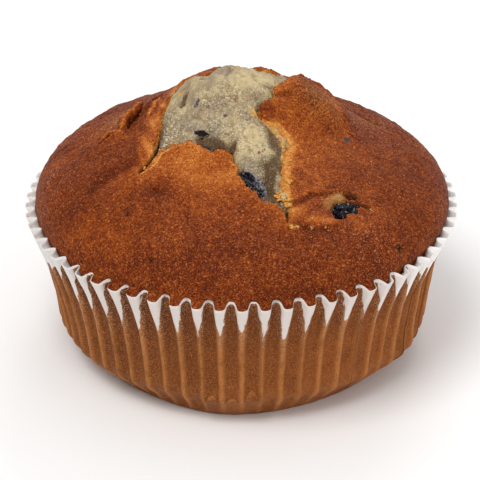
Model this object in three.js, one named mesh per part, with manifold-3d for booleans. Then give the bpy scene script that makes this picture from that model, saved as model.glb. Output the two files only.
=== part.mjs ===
// A berry muffin in its fluted paper case. The cake's top has burst open: flaps of browned crust
// stand round a crack where the pale crumb swells out, with berries in it.
// Millimetres, +Z up, origin at the middle of the base, front of the muffin towards -Y.
import * as THREE from 'three';
import { mergeVertices } from 'three/addons/utils/BufferGeometryUtils.js';
import Module from 'manifold-3d';

const wasm = await Module();
wasm.setup();

const gap = 0.35; // air left between pieces that touch

// The paper case: a cup of folds, wide and standing off the cake at the rim, tight ridges below,
// almost upright lower down and drawn in to its flat base
const paper = {
  folds: 62,
  firstInwardFold: -145.2, // degrees from +X
  wall: 0.3,
  rimHeight: 29.5,
  outside: [[0, 30.3], [6, 36.4], [12, 37.1], [19.5, 38.4], [24.5, 40.1], [29.5, 42]], // z, radius
  rimFoldDepth: 1.95,
  baseFoldDepth: 0.5,
  foldsCloseBelowRim: 10,
  outwardShareAtRim: 0.48, // shares of one fold's width
  outwardShareBelow: 0.18,
  inwardShareAtRim: 0.28,
  inwardShareBelow: 0.46,
};

// The cake: side against the paper, a dome that is lower on its right, and the swellings on top
const cake = {
  columns: 120,
  crustRadius: 40.2,
  crustEdgeAboveRim: 0.95,
  domeHeightLeft: 15.9,
  domeHeightRight: 14.2,
  domeShoulder: 1.4,
  domeFall: 2.46,
};
const crown = { rise: 8.1, x: -0.6, y: 8.7, reach: 14, steepness: 2 };
const rightFlap = { rise: 4.1, x: 14.8, y: 7.6, reach: 6.1, steepness: 3 };
const crumbLobe = { rise: 1.0, x: 1.5, y: -10, reach: 5, steepness: 2 };
const dimple = { rise: -1.0, x: -15.8, y: -18.4, reach: 2.2, steepness: 2 };

// The crack: its outline as degrees and millimetres about its own centre
const crack = {
  x: -6,
  y: -2,
  outline: [
    [-172, 9.9], [-160, 11.2], [-150, 12.7], [-144, 13.9], [-140, 17.4], [-137, 12.5],
    [-134, 8.7], [-126, 7.5], [-113, 7.5], [-99, 8.0], [-87, 9.7], [-76.5, 9.1], [-72, 11.6],
    [-69, 17.6], [-66, 22.8], [-63, 24.2], [-60, 28.2], [-57, 26.9], [-54, 23.8], [-47, 20.8],
    [-41.8, 18.8], [-35, 17.0], [-21.5, 16.3], [-14, 15.4], [-9, 12.8], [-3.5, 8.9], [3, 9.7],
    [12, 11.8], [22.6, 13.3], [32, 15.4], [45, 17.6], [60, 16.8], [80, 16.0], [87, 12.4],
    [97, 8.7], [110, 10.6], [126, 9.7], [137, 11.5], [150, 10.1], [170, 9.7],
  ],
  lipRise: 0.8, // the crust's edge curls up
  lipReach: 4,
  creviceDepth: 2.2,
  crumbRise: 0.6,
};

// Berries that show: one in the crack's front end, one in the crust at the right, a scrap above
const berries = [
  { name: 'berry_crack', x: 1.6, y: -16.2, sink: 2.2, radii: [3.7, 2.8, 3.0], turn: -35 },
  { name: 'berry_right', x: 20.0, y: -21.4, sink: 1.7, radii: [3.8, 2.7, 2.6], turn: 10 },
  { name: 'berry_upper', x: -8.1, y: -7.1, sink: 0.6, radii: [1.8, 1.4, 1.6], turn: -20 },
];

const material = {
  paper: new THREE.MeshStandardMaterial({ color: 0xc08a52, roughness: 0.75, metalness: 0 }),
  cake: new THREE.MeshStandardMaterial({ color: 0xa9602c, roughness: 0.8, metalness: 0 }),
  berry: new THREE.MeshStandardMaterial({ color: 0x22202c, roughness: 0.35, metalness: 0 }),
};

const { degToRad, radToDeg, lerp, clamp, smoothstep } = THREE.MathUtils;

// Waves of one length in many directions, the same on every run, between -1 and 1
function waves(seed, length, count = 7) {
  let state = seed;
  const next = () => {
    state = (state * 16807) % 2147483647;
    return state / 2147483647;
  };
  const set = Array.from({ length: count }, () => {
    const heading = next() * Math.PI * 2;
    const pitch = (Math.PI * 2) / (length * lerp(0.7, 1.4, next()));
    return [Math.cos(heading) * pitch, Math.sin(heading) * pitch, next() * Math.PI * 2];
  });
  const scale = 1 / Math.sqrt(count);
  const wave = (x, y) => ([kx, ky, phase]) => Math.sin(kx * x + ky * y + phase);
  return (x, y) => set.map(wave(x, y)).reduce((sum, height) => sum + height) * scale;
}
const crustWaves = waves(11, 10);
const crumbWaves = waves(23, 5.5);

// A rise over a round patch, falling away past its reach
function swelling({ rise, x, y, reach, steepness }, px, py) {
  const spread = ((px - x) ** 2 + (py - y) ** 2) / reach ** 2;
  return rise / (1 + spread ** steepness);
}

// Height of the whole dome over the rim plane, before the crack
function domeAt(x, y) {
  const share = clamp(Math.hypot(x, y) / cake.crustRadius, 0, 1);
  const towardsRight = 0.5 + 0.5 * Math.sin(Math.atan2(x, -y));
  const height = lerp(cake.domeHeightLeft, cake.domeHeightRight, towardsRight);
  const dome = height * (1 - share ** cake.domeShoulder) ** (1 / cake.domeFall);
  const lumps = swelling(crown, x, y) + swelling(rightFlap, x, y) + swelling(dimple, x, y);
  const inside = 1 - smoothstep(share, 0.85, 1);
  return dome + lumps + 0.3 * crustWaves(x, y) * inside;
}

// Radius of the crack's outline in a direction, between the outline's points
function crackRadius(degrees) {
  const points = crack.outline;
  const turned = degrees < points[0][0] ? degrees + 360 : degrees;
  const after = points.findIndex(([angle]) => angle > turned);
  const [a, b] = after < 0 ? [points.at(-1), points[0]] : [points[after - 1], points[after]];
  const span = (b[0] - a[0] + 360) % 360;
  return lerp(a[1], b[1], (turned - a[0]) / span);
}

// How far a ray from the crack's centre runs before it meets a circle about the axis
function rayToCircle(direction, radius) {
  const along = crack.x * direction.x + crack.y * direction.y;
  const offset = crack.x ** 2 + crack.y ** 2 - radius ** 2;
  return -along + Math.sqrt(along ** 2 - offset);
}

// A mesh with its shared vertices merged and its collapsed triangles dropped
function welded(geometry) {
  geometry.deleteAttribute('normal');
  geometry.deleteAttribute('uv');
  const merged = mergeVertices(geometry, 1e-4);
  const index = merged.getIndex().array;
  const kept = [];
  for (let i = 0; i < index.length; i += 3) {
    const [a, b, c] = [index[i], index[i + 1], index[i + 2]];
    if (a !== b && b !== c && c !== a) kept.push(a, b, c);
  }
  merged.setIndex(kept);
  return merged;
}

// A lathe's rows and columns, each point then moved to where place(row, column) says.
// The first and last rows are points on the axis, so the skin is closed.
function placedSkin(rows, columns, place) {
  const profile = Array.from({ length: rows }, (_, row) => {
    const onAxis = row === 0 || row === rows - 1;
    return new THREE.Vector2(onAxis ? 0 : 1, row);
  });
  const geometry = new THREE.LatheGeometry(profile, columns);
  const position = geometry.getAttribute('position');
  for (let i = 0; i < position.count; i += 1) {
    const row = i % rows;
    const column = Math.floor(i / rows) % columns;
    position.setXYZ(i, ...place(row, column));
  }
  return welded(geometry);
}

function solidOf(geometry) {
  return new wasm.Manifold(new wasm.Mesh({
    numProp: 3,
    vertProperties: new Float32Array(geometry.getAttribute('position').array),
    triVerts: new Uint32Array(geometry.getIndex().array),
  }));
}

function geometryOf(solid) {
  const mesh = solid.getMesh();
  const geometry = new THREE.BufferGeometry();
  geometry.setAttribute('position', new THREE.BufferAttribute(mesh.vertProperties, 3));
  geometry.setIndex(new THREE.BufferAttribute(mesh.triVerts, 1));
  return geometry;
}

// Outside radius of the outward folds at a height
function foldRadius(z) {
  const above = clamp(paper.outside.findIndex(([height]) => height > z), 1, Infinity);
  const [low, high] = z >= paper.rimHeight
    ? paper.outside.slice(-2)
    : [paper.outside[above - 1], paper.outside[above]];
  return lerp(low[1], high[1], (z - low[0]) / (high[0] - low[0]));
}

function foldDepth(z) {
  const belowRim = clamp((paper.rimHeight - z) / paper.foldsCloseBelowRim, 0, 1);
  return lerp(paper.rimFoldDepth, paper.baseFoldDepth, belowRim);
}

function paperCase() {
  const outside = paper.outside.map(([z], i) => ({ z, inset: 0, flat: i === 0 ? 1 : 0 }));
  const inside = outside.map(({ z, flat }, i) => ({
    z: i === 0 ? z + paper.wall : z,
    inset: paper.wall,
    flat,
    lining: true,
  }));
  const rings = [...outside, ...inside.reverse()];
  const corners = 4;
  return placedSkin(rings.length + 2, paper.folds * corners, (row, column) => {
    if (row === 0) return [0, 0, 0];
    if (row === rings.length + 1) return [0, 0, paper.wall];
    const { z, inset, flat, lining } = rings[row - 1];
    const belowRim = clamp((paper.rimHeight - z) / paper.foldsCloseBelowRim, 0, 1);
    const outward = lerp(paper.outwardShareAtRim, paper.outwardShareBelow, belowRim);
    const inward = lerp(paper.inwardShareAtRim, paper.inwardShareBelow, belowRim);
    const pitch = (Math.PI * 2) / paper.folds;
    const thick = lining ? paper.wall / (pitch * foldRadius(z)) : 0;
    const corner = column % corners; // inward fold's two corners, then the outward fold's
    const inwardHalf = inward / 2 + thick;
    const outwardHalf = Math.max(outward / 2 - thick, 0.04);
    const phase = [-inwardHalf, inwardHalf, 0.5 - outwardHalf, 0.5 + outwardHalf][corner];
    const fold = Math.floor(column / corners) + phase;
    const angle = degToRad(paper.firstInwardFold) + fold * pitch;
    const depth = corner < 2 ? foldDepth(z) * (1 - 0.5 * flat) : 0;
    const radius = foldRadius(z) - inset - depth;
    return [Math.cos(angle) * radius, Math.sin(angle) * radius, z];
  });
}

// Radius of the cake's side at a height, just inside the inward folds
function sideRadius(z) {
  return foldRadius(z) - foldDepth(z) - paper.wall - gap;
}

function cakeBody() {
  const floor = paper.wall + gap;
  const rim = paper.rimHeight;
  const sides = [
    { z: floor, radius: sideRadius(floor) - 0.4 },
    ...paper.outside.slice(1, -2).map(([z]) => ({ z, radius: sideRadius(z) - 0.1 })),
    { z: rim + 0.1, radius: sideRadius(rim) - 0.05 },
  ];
  const crustShares = [1, 0.985, 0.95, 0.88, 0.77, 0.62, 0.45, 0.28, 0.13, 0]; // rim to crack
  const crumbShares = [0.93, 0.86, 0.66, 0.42, 0.2]; // of the outline's radius
  const rows = 1 + sides.length + crustShares.length + crumbShares.length + 1;

  return placedSkin(rows, cake.columns, (row, column) => {
    if (row === 0) return [0, 0, floor];
    const angle = -Math.PI + (column * Math.PI * 2) / cake.columns;
    const direction = { x: Math.cos(angle), y: Math.sin(angle) };
    const toRim = rayToCircle(direction, cake.crustRadius);
    const toLip = crackRadius(radToDeg(angle));
    const at = (distance) => [crack.x + direction.x * distance, crack.y + direction.y * distance];

    if (row <= sides.length) {
      const side = sides[row - 1];
      return [...at(rayToCircle(direction, side.radius)), side.z];
    }
    const crustRow = row - 1 - sides.length;
    if (crustRow < crustShares.length) {
      const distance = lerp(toLip, toRim, crustShares[crustRow]);
      const [x, y] = at(distance);
      const curl = crack.lipRise * Math.exp((toLip - distance) / crack.lipReach);
      const edge = crustRow === 0 ? cake.crustEdgeAboveRim : 0;
      return [x, y, rim + Math.max(edge, domeAt(x, y) + curl)];
    }
    const crumbRow = crustRow - crustShares.length;
    if (crumbRow === crumbShares.length) {
      return [crack.x, crack.y, rim + domeAt(crack.x, crack.y) + crack.crumbRise];
    }
    const [x, y] = at(toLip * crumbShares[crumbRow]);
    const swell = crumbRow === 0 ? -crack.creviceDepth : crack.crumbRise + 0.5 * crumbWaves(x, y);
    const lobe = crumbRow === 0 ? 0 : swelling(crumbLobe, x, y);
    return [x, y, rim + domeAt(x, y) + swell + lobe];
  });
}

// A shrivelled berry, round its own centre, grown outwards by a margin
function berryShape({ radii, turn }, margin) {
  const geometry = new THREE.IcosahedronGeometry(1, 2);
  const position = geometry.getAttribute('position');
  for (let i = 0; i < position.count; i += 1) {
    const unit = new THREE.Vector3().fromBufferAttribute(position, i).normalize();
    const wrinkle = 1 + 0.06 * Math.sin(5 * unit.x + 3 * unit.z) * Math.sin(6 * unit.y - 2 * unit.z);
    unit.set(
      unit.x * (radii[0] * wrinkle + margin),
      unit.y * (radii[1] * wrinkle + margin),
      unit.z * (radii[2] * wrinkle + margin),
    );
    position.setXYZ(i, unit.x, unit.y, unit.z);
  }
  geometry.rotateZ(degToRad(turn));
  return welded(geometry);
}

function berryPlace({ x, y, sink }) {
  return new THREE.Vector3(x, y, paper.rimHeight + domeAt(x, y) - sink);
}

const muffin = new THREE.Group();

let body = solidOf(cakeBody());
for (const berry of berries) {
  const pocket = berryShape(berry, gap).translate(...berryPlace(berry));
  body = body.subtract(solidOf(pocket));

  const mesh = new THREE.Mesh(berryShape(berry, 0), material.berry);
  mesh.name = berry.name;
  mesh.position.copy(berryPlace(berry));
  muffin.add(mesh);
}

const cakeMesh = new THREE.Mesh(geometryOf(body), material.cake);
cakeMesh.name = 'muffin';
muffin.add(cakeMesh);

const paperMesh = new THREE.Mesh(paperCase(), material.paper);
paperMesh.name = 'paper_case';
muffin.add(paperMesh);

export default muffin;
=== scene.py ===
# A berry muffin in its fluted paper case, its browned top burst open over pale crumb.
# Shapes are worked out in millimetres and written to the meshes in metres.
import math

import bmesh
import bpy
import numpy as np
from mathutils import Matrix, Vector, kdtree


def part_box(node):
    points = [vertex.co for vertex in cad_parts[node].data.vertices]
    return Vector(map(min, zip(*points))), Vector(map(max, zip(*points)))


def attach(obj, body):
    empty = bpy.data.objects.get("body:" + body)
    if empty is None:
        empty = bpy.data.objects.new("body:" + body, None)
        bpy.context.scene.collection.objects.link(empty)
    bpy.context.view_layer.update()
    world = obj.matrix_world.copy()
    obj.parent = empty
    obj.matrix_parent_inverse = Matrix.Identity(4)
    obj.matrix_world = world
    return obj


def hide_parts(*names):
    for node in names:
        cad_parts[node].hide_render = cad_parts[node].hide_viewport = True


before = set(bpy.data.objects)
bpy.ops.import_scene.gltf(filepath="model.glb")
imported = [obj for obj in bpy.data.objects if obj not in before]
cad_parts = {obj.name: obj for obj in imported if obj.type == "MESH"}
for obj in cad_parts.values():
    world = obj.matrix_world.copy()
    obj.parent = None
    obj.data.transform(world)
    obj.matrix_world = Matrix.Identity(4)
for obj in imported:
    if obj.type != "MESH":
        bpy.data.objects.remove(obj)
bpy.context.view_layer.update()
mm = 0.001

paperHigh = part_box("paper_case")[1]
rimHeight = paperHigh.z / mm
rimRadius = paperHigh.x / mm
print("frame loaded, rim at", round(rimHeight, 2), "mm")


# camera, floor and light

camera = dict(
    elevation=28.6, distance=480.0, focal=184.5, sensor=36.0, aimRight=-0.43, aimUp=-8.0,
    nearest=0.01, furthest=10,
)


def addObject(name, data):
    added = bpy.data.objects.new(name, data)
    bpy.context.scene.collection.objects.link(added)
    return added


def meshFrom(name, bm):
    mesh = bpy.data.meshes.new(name)
    bm.to_mesh(mesh)
    bm.free()
    return mesh


def placeFacing(thing, place, direction):
    thing.location = place
    thing.rotation_euler = direction.to_track_quat("-Z", "Y").to_euler()


def addCamera():
    tilt = math.radians(camera["elevation"])
    back = Vector((0, -math.cos(tilt), math.sin(tilt)))
    up = Vector((0, math.sin(tilt), math.cos(tilt)))
    rimCentre = Vector((0, 0, rimHeight))
    place = rimCentre + back * camera["distance"]
    aim = rimCentre + up * camera["aimUp"] + Vector((camera["aimRight"], 0, 0))
    data = bpy.data.cameras.new("camera")
    data.lens = camera["focal"]
    data.sensor_width = camera["sensor"]
    data.clip_start, data.clip_end = camera["nearest"], camera["furthest"]
    eye = addObject("camera", data)
    placeFacing(eye, place * mm, aim - place)
    bpy.context.scene.camera = eye


studio = dict(
    floorSize=3.0, floorColour=(0.9, 0.9, 0.9, 1), floorRoughness=0.9,
    sky=(1.0, 1.0, 1.0, 1), skyStrength=0.62, lightsAim=(0, 0, 0.03),
    lights=[  # name, place, size, watts, colour
        ("keyLight", (-0.22, -0.30, 0.75), 0.45, 3.6, (1.0, 0.985, 0.96)),
        ("fillLight", (0.60, -0.50, 0.35), 0.50, 0.9, (0.98, 0.99, 1.0)),
        ("backLight", (0.15, 0.60, 0.50), 0.40, 1.4, (1.0, 1.0, 1.0)),
    ],
)


def addLights():
    for name, place, size, power, colour in studio["lights"]:
        data = bpy.data.lights.new(name, "AREA")
        data.shape = "DISK"
        data.size = size
        data.energy = power
        data.color = colour
        placeFacing(addObject(name, data), place, Vector(studio["lightsAim"]) - Vector(place))
    world = bpy.data.worlds.new("studio")
    bpy.context.scene.world = world
    world.use_nodes = True
    sky = world.node_tree.nodes["Background"]
    sky.inputs["Color"].default_value = studio["sky"]
    sky.inputs["Strength"].default_value = studio["skyStrength"]


def addFloor():
    bm = bmesh.new()
    bmesh.ops.create_grid(bm, x_segments=1, y_segments=1, size=studio["floorSize"])
    floor = addObject("floor", meshFrom("floor", bm))
    paint = bpy.data.materials.new("floorPaint")
    paint.use_nodes = True
    surface = paint.node_tree.nodes["Principled BSDF"]
    surface.inputs["Base Color"].default_value = studio["floorColour"]
    surface.inputs["Roughness"].default_value = studio["floorRoughness"]
    floor.data.materials.append(paint)


addCamera()
addLights()
addFloor()
bpy.context.scene.view_settings.view_transform = "Standard"
print("camera and studio ready")


# random fields, the same on every run

def hashed(ix, iy, iz, seed):
    mask = 0xFFFFFFFF
    n = 0
    for part, prime in ((ix, 73856093), (iy, 19349663), (iz, 83492791), (seed, 40503)):
        n = n ^ (part * prime & mask)
    n = ((n ^ (n >> 15)) * 1274126177) & mask
    n = ((n ^ (n >> 13)) * 974634777) & mask
    return ((n ^ (n >> 16)) & 0xFFFFFF) / float(0xFFFFFF)


def cellsOf(x, y, z, size):
    scaled = [np.asarray(part, float) / size + 512.0 for part in np.broadcast_arrays(x, y, z)]
    whole = [np.floor(part).astype(np.int64) for part in scaled]
    return scaled, whole


def smoothNoise(x, y, z, size, seed=0):  # soft lumps of one size, from -1 to 1
    scaled, (ix, iy, iz) = cellsOf(x, y, z, size)
    fx, fy, fz = (part - whole for part, whole in zip(scaled, (ix, iy, iz)))
    fx, fy, fz = (f * f * (3 - 2 * f) for f in (fx, fy, fz))
    total = 0
    for dx in (0, 1):
        for dy in (0, 1):
            for dz in (0, 1):
                weight = (fx if dx else 1 - fx) * (fy if dy else 1 - fy) * (fz if dz else 1 - fz)
                total = total + weight * hashed(ix + dx, iy + dy, iz + dz, seed)
    return total * 2 - 1


def layeredNoise(x, y, z, size, layers, seed=0, fade=0.5):
    total = 0
    for layer in range(layers):
        total = total + fade ** layer * smoothNoise(x, y, z, size * 0.5 ** layer, seed + layer * 7)
    return total


def grainDistance(x, y, z, size, seed=0):  # how far the nearest grain's middle is, in grains
    (px, py, pz), (ix, iy, iz) = cellsOf(x, y, z, size)
    nearest = np.full(np.shape(px), 9.0)
    for dx in (-1, 0, 1):
        for dy in (-1, 0, 1):
            for dz in (-1, 0, 1):
                cx, cy, cz = ix + dx, iy + dy, iz + dz
                ox = cx + hashed(cx, cy, cz, seed) - px
                oy = cy + hashed(cx, cy, cz, seed + 1) - py
                oz = cz + hashed(cx, cy, cz, seed + 2) - pz
                nearest = np.minimum(nearest, ox * ox + oy * oy + oz * oz)
    return np.sqrt(nearest)


def smoothStep(value, low, high):
    share = np.clip((value - low) / (high - low), 0, 1)
    return share * share * (3 - 2 * share)


def pathDistance(x, y, path):  # distance to a line through points, and which side a point is on
    nearest = np.full(np.shape(x), 1e9)
    side = np.zeros(np.shape(x))
    for (ax, ay), (bx, by) in zip(path[:-1], path[1:]):
        dx, dy = bx - ax, by - ay
        along = np.clip(((x - ax) * dx + (y - ay) * dy) / (dx * dx + dy * dy), 0, 1)
        ox, oy = x - ax - along * dx, y - ay - along * dy
        distance = np.hypot(ox, oy)
        closer = distance < nearest
        nearest = np.where(closer, distance, nearest)
        side = np.where(closer, np.sign(dx * oy - dy * ox), side)
    return nearest, side


def patchSum(x, y, patches):  # round patches given as x, y, reach, amount
    total = 0
    for atX, atY, reach, amount in patches:
        total = total + amount * np.exp(-((x - atX) ** 2 + (y - atY) ** 2) / reach ** 2)
    return total


def pathSum(x, y, paths):  # soft lines given as points, width, amount
    return sum(amount * np.exp(-(pathDistance(x, y, path)[0] / width) ** 2) for path, width, amount in paths)


def smoothedRound(values, times):
    for _ in range(times):
        values = 0.5 * values + 0.25 * (np.roll(values, 1) + np.roll(values, -1))
    return values


def spacedPoints(path, spacing, more):  # a path's points, put in afresh at an even spacing
    corners = np.array(path, float)
    length = np.concatenate([[0], np.cumsum(np.hypot(*np.diff(corners, axis=0).T))])
    steps = np.linspace(0, length[-1], int(length[-1] / spacing) + more)
    return np.interp(steps, length, corners[:, 0]), np.interp(steps, length, corners[:, 1])


# the muffin's form

cake = dict(
    radius=40.2, heightLeft=15.9, heightRight=14.2, shoulder=1.4, fall=2.46,
    edgeOver=0.38, edgeOverFilled=0.95,  # least height over the rim, by open folds and by filled ones
    fillTurn=0.05, fillFrom=0.6, fillTo=0.82,  # the crust fills the paper's outward folds at the front
    swellings=[  # rise, x, y, reach, steepness
        (8.1, -0.6, 8.7, 14.0, 2),  # the crown
        (4.1, 14.8, 7.6, 6.1, 3),  # the right flap, pushed up
        (-0.9, -15.9, -17.9, 1.7, 2),  # a dimple
        (-0.45, 6.5, -33.0, 6.0, 2),
        (0.5, -25.0, -6.0, 6.0, 2),
        (0.5, 24.0, -9.0, 7.0, 2),
    ],
)

crack = dict(
    x=-6.0, y=-2.0,
    outline=[  # where the browned skin ends, going round from the left tail by the front
        (-19.2, -13.4), (-17.2, -12.4), (-16.3, -10.9), (-15.4, -9.0), (-14.0, -8.8), (-13.3, -7.7),
        (-11.6, -8.4), (-10.4, -8.0), (-8.1, -9.4), (-5.8, -11.5), (-4.7, -10.8), (-3.4, -10.6),
        (-1.9, -12.0), (-2.0, -13.4), (-0.8, -14.9), (-1.4, -16.8), (0.0, -17.9), (0.9, -20.1),
        (2.8, -21.7), (3.7, -23.4), (5.6, -23.3), (7.5, -25.0), (8.2, -27.5), (9.1, -24.6), (8.0, -20.4),
        (8.1, -16.0), (7.9, -12.0), (9.3, -7.0), (8.9, -5.7), (6.4, -3.3), (3.8, -3.1), (2.9, -2.3),
        (4.2, -0.4), (6.4, 1.4), (6.2, 3.9), (6.9, 6.1), (8.5, 5.8), (9.4, 7.6), (8.2, 10.2), (6.2, 11.0),
        (3.0, 11.4), (0.8, 14.4), (-1.6, 14.6), (-4.0, 12.6), (-6.3, 8.0), (-7.2, 7.3), (-8.8, 8.6),
        (-10.4, 9.9), (-11.6, 9.4), (-12.9, 8.2), (-13.9, 6.9), (-14.9, 4.8), (-15.5, 1.7), (-16.1, -3.3),
        (-16.9, -7.6), (-17.2, -11.0), (-18.0, -12.5),
    ],
    leftWidth=2.4, marks=(0.2, 0.16, 0.75),  # turn, stretch and size of the marks in the skin there
    leftBand=[(-12.6, 12.0), (-15.2, 7.6), (-17.0, 3.0), (-17.9, -2.0), (-18.2, -7.5), (-18.0, -11.0)],
    rightWidth=0.6, uneven=0.7, unevenSize=1.8,
    rightBand=[
        (9.3, -24.8), (8.4, -20.2), (8.6, -15.6), (8.4, -11.6), (9.3, -7.0), (8.6, -5.0), (6.2, -3.0),
    ],
    curlReach=3.6,  # how far from the crack the crust's lift reaches
    spacing=0.1, ragged=((1.1, 0.18), (0.55, 0.27), (0.3, 0.16)),  # size and height of the outline's teeth
    spine=[  # a direction in degrees, and where lines drawn outwards in it start
        (-180, -7.0, 0.0), (-150, -7.6, 0.5), (-128, -8.2, 1.2), (-116, -7.5, -0.5), (-108, -3.0, -4.0),
        (-100, 2.8, -8.0), (-75, 3.2, -8.5), (-40, 2.0, -7.0), (0, -1.0, -3.0), (45, -2.0, -1.0),
        (90, -4.0, 0.5), (135, -6.0, 0.5), (180, -7.0, 0.0),
    ],
)

# round the crack by direction: degrees, the crust's lift, its sloping broken band, the crevice's depth
crackEdge = [
    (-180, 0.8, 0.5, 0.9), (-150, 0.8, 0.3, 2.2), (-140, 0.5, 0.2, 3.2), (-132, 0.7, 0.2, 0.9),
    (-118, 0.8, 0.2, 0.9), (-100, 0.7, 0.25, 1.7), (-80, 0.7, 0.25, 1.3), (-70, 0.6, 0.25, 2.2),
    (-61, 0.4, 0.3, 2.2), (-54, 0.4, 0.8, 1.6), (-45, 0.4, 0.9, 1.3), (-35, 0.3, 0.9, 0.9),
    (-22, 0.1, 1.0, 0.3), (-14, 0.1, 0.9, 0.3), (-5, 0.4, 0.4, 0.7), (4, 0.7, 0.3, 1.2),
    (12, 0.8, 0.25, 1.5), (28, 0.6, 0.3, 0.8), (38, 0.0, 0.3, 0.3), (44, 0.9, 0.3, 0.2),
    (54, 1.2, 0.3, 0.2), (60, 0.9, 0.3, 0.2), (65, -0.4, 0.4, 0.2), (80, -0.3, 0.4, 0.2),
    (87, 0.6, 0.5, 0.2), (105, 0.95, 0.5, 0.3), (118, 0.75, 0.4, 0.4), (130, 0.35, 0.4, 0.3),
    (160, 0.9, 0.5, 0.7), (180, 0.8, 0.4, 1.2),
]

# folds in the crust: path, width, depth of the groove, step up on its left-hand side
crustFolds = [
    (
        [(9.1, -22.8), (11.6, -20.7), (13.5, -18.9), (15.8, -18.3), (18.0, -17.4), (20.8, -17.9)],
        0.4, 0.35, 0.55,
    ),
    ([(-16.8, -9.4), (-17.5, -11.2), (-19.2, -13.5)], 0.3, 1.3, 0.0),
    ([(22.0, 16.4), (24.1, 13.8), (26.2, 12.5)], 0.8, 0.4, 0.0),
    ([(6.6, 2.4), (8.0, 3.4), (9.6, 4.2)], 0.5, 0.3, 0.2),
    ([(17.8, 8.5), (18.9, 4.6), (20.0, 0.5), (22.9, -3.2)], 1.2, 0.6, 0.0),
    ([(-17.6, 12.4), (-19.4, 10.4), (-21.0, 8.2), (-22.2, 5.4), (-22.8, 1.6)], 0.6, 0.1, -1.5),
    ([(-29.4, -2.4), (-27.8, -0.8), (-26.0, 1.8), (-24.3, 2.0), (-23.1, 0.8)], 0.7, -0.35, -0.7),
    ([(-28.2, -13.6), (-26.0, -12.5), (-24.4, -11.0), (-21.4, -10.5)], 1.2, 0.6, 0.2),
    ([(-20.6, -17.6), (-21.4, -22.0)], 0.7, 0.25, 0.0),
    ([(11.6, -27.8), (13.0, -28.3), (15.3, -27.7), (17.3, -26.9)], 0.45, 0.3, 0.5),
    ([(-14.8, 12.6), (-17.4, 7.6), (-18.8, 2.4), (-19.6, -2.6), (-19.3, -8.0)], 1.0, -0.35, 0.0),
]

pinholes = [  # x, y, size
    (-21.0, -23.2, 0.42), (-16.5, -33.7, 0.38), (29.2, -26.0, 0.5), (30.4, -13.0, 0.3), (-16.1, -17.7, 0.5),
]

crustGrain = dict(
    lumps=0.26, lumpSize=9.0, knobs=0.1, outerKnobs=0.08, knobSize=1.4, wrinkles=0.16, wrinkleSize=2.2,
    wrinkleWidth=0.25, foldWobble=0.3, wobbleSize=1.3, stepWidth=3.5, stepTurn=0.3, pinholeDepth=0.9,
    stretched=0.24, broken=0.3, brokenSize=1.1, pores=0.08, poreSize=0.8,
)

berrySockets = [  # x, y, half sizes, turn in degrees, depth
    (19.5, -20.4, 2.4, 1.0, 8, 1.6), (18.1, -22.4, 2.2, 1.3, 78, 1.5), (19.3, -21.8, 1.0, 0.9, 0, 1.5),
    (22.6, -19.8, 1.3, 0.45, -14, 1.3), (20.2, -18.0, 1.2, 0.65, -12, 2.8),
    (16.5, -16.5, 0.9, 0.22, -5, 1.0),
]

socketEdge = dict(uneven=0.22, unevenSize=1.2, fade=(0.8, 1.1))

paper = dict(
    folds=62, firstInward=-145.2, rimDepth=1.95, baseDepth=0.95, foldsClose=10.0, wall=0.16,
    outside=[(0, 30.3), (6, 36.4), (12, 37.1), (19.5, 38.4), (24.5, 40.1), (29.5, 42)],  # height, radius
    archPeaks={8: 6.4, 9: 6.0, 10: 7.9, 23: 6.0, 24: 5.2, 37: 6.4, 52: 6.0}, archFoot=2.6,  # by fold
    softening=1.0, deepening=1.2, footDepth=0.45, footHigh=7, thickerBelow=0.45, thinOver=(9, 14),
    perFold=26, footRows=(0.0, 0.3, 0.8, 1.6, 2.4), lowRows=(3.0, 8.6, 20), middleRows=(9.6, 5), rimRows=14,
    liningBelowRim=(0, 0.5, 1.0, 1.5, 2.1, 3.2, 5), liningRows=(14, 8.8, 3, 0.3), floorThickness=0.15,
    pressedFrom=(0.5, 2.0), pressedDepth=1.05, ridgeWidth=0.19, stepWidth=0.3, stepRidge=0.85,
    dents=[  # degrees, height, spreads of both, push outwards
        (262, 0, 24, 3, 1.3), (186, 29.5, 36, 6, 0.35), (203, 20, 14, 6, 0.45), (-20, 21, 12, 5, -0.4),
        (-30, 6, 8, 3, 0.5), (242, 2, 13, 4, -0.5), (-58, 2, 14, 4, -0.25),
    ],
)
foldPitch = 2 * math.pi / paper["folds"]

foldShape = dict(  # widths across a fold are shares of its width, and spreads are the folds' differences
    edgeLeft=0.265, edgeRight=0.335, edgeSpread=0.08, sharpness=3, softerSides=1.1, narrower=0.2,
    valley=0.2, depthSpread=0.1, lean=0.10, sway=0.1, swayTurn=0.45, inset=0.02,
    lift=0.72, lowerSides=0.37, dip=0.17, sag=(0.1, 0.3, 0.24), liftSpread=0.12,
    crinkle=0.06, crinkleSize=1.2, crinkleShift=0.05, uneven=0.22, unevenAt=3, unevenReach=3.5,
)

whiteParts = dict(  # how far down a fold is dry and white, and how far across it
    longMiddle=126, longSpread=17, longer=2.2,  # degrees left of +X, millimetres
    tip=7.6, shorterSides=0.7, tipSpread=1.2, half=0.325, widerSides=0.08, widerLong=0.05, closing=0.35,
    skew=0.035, rim=0.5, rimSpread=0.22, sides=4.6, sideSpread=0.8, lining=0.5,
)


def swelling(x, y, rise, atX, atY, reach, steepness):
    spread = ((x - atX) ** 2 + (y - atY) ** 2) / reach ** 2
    return rise / (1 + spread ** steepness)


def domeHeight(x, y):  # over the rim plane, smooth
    share = np.clip(np.hypot(x, y) / cake["radius"], 0, 1)
    toRight = 0.5 + 0.5 * np.sin(np.arctan2(x, -y))
    height = cake["heightLeft"] + (cake["heightRight"] - cake["heightLeft"]) * toRight
    dome = height * (1 - share ** cake["shoulder"]) ** (1 / cake["fall"])
    return dome + sum(swelling(x, y, *each) for each in cake["swellings"])


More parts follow.
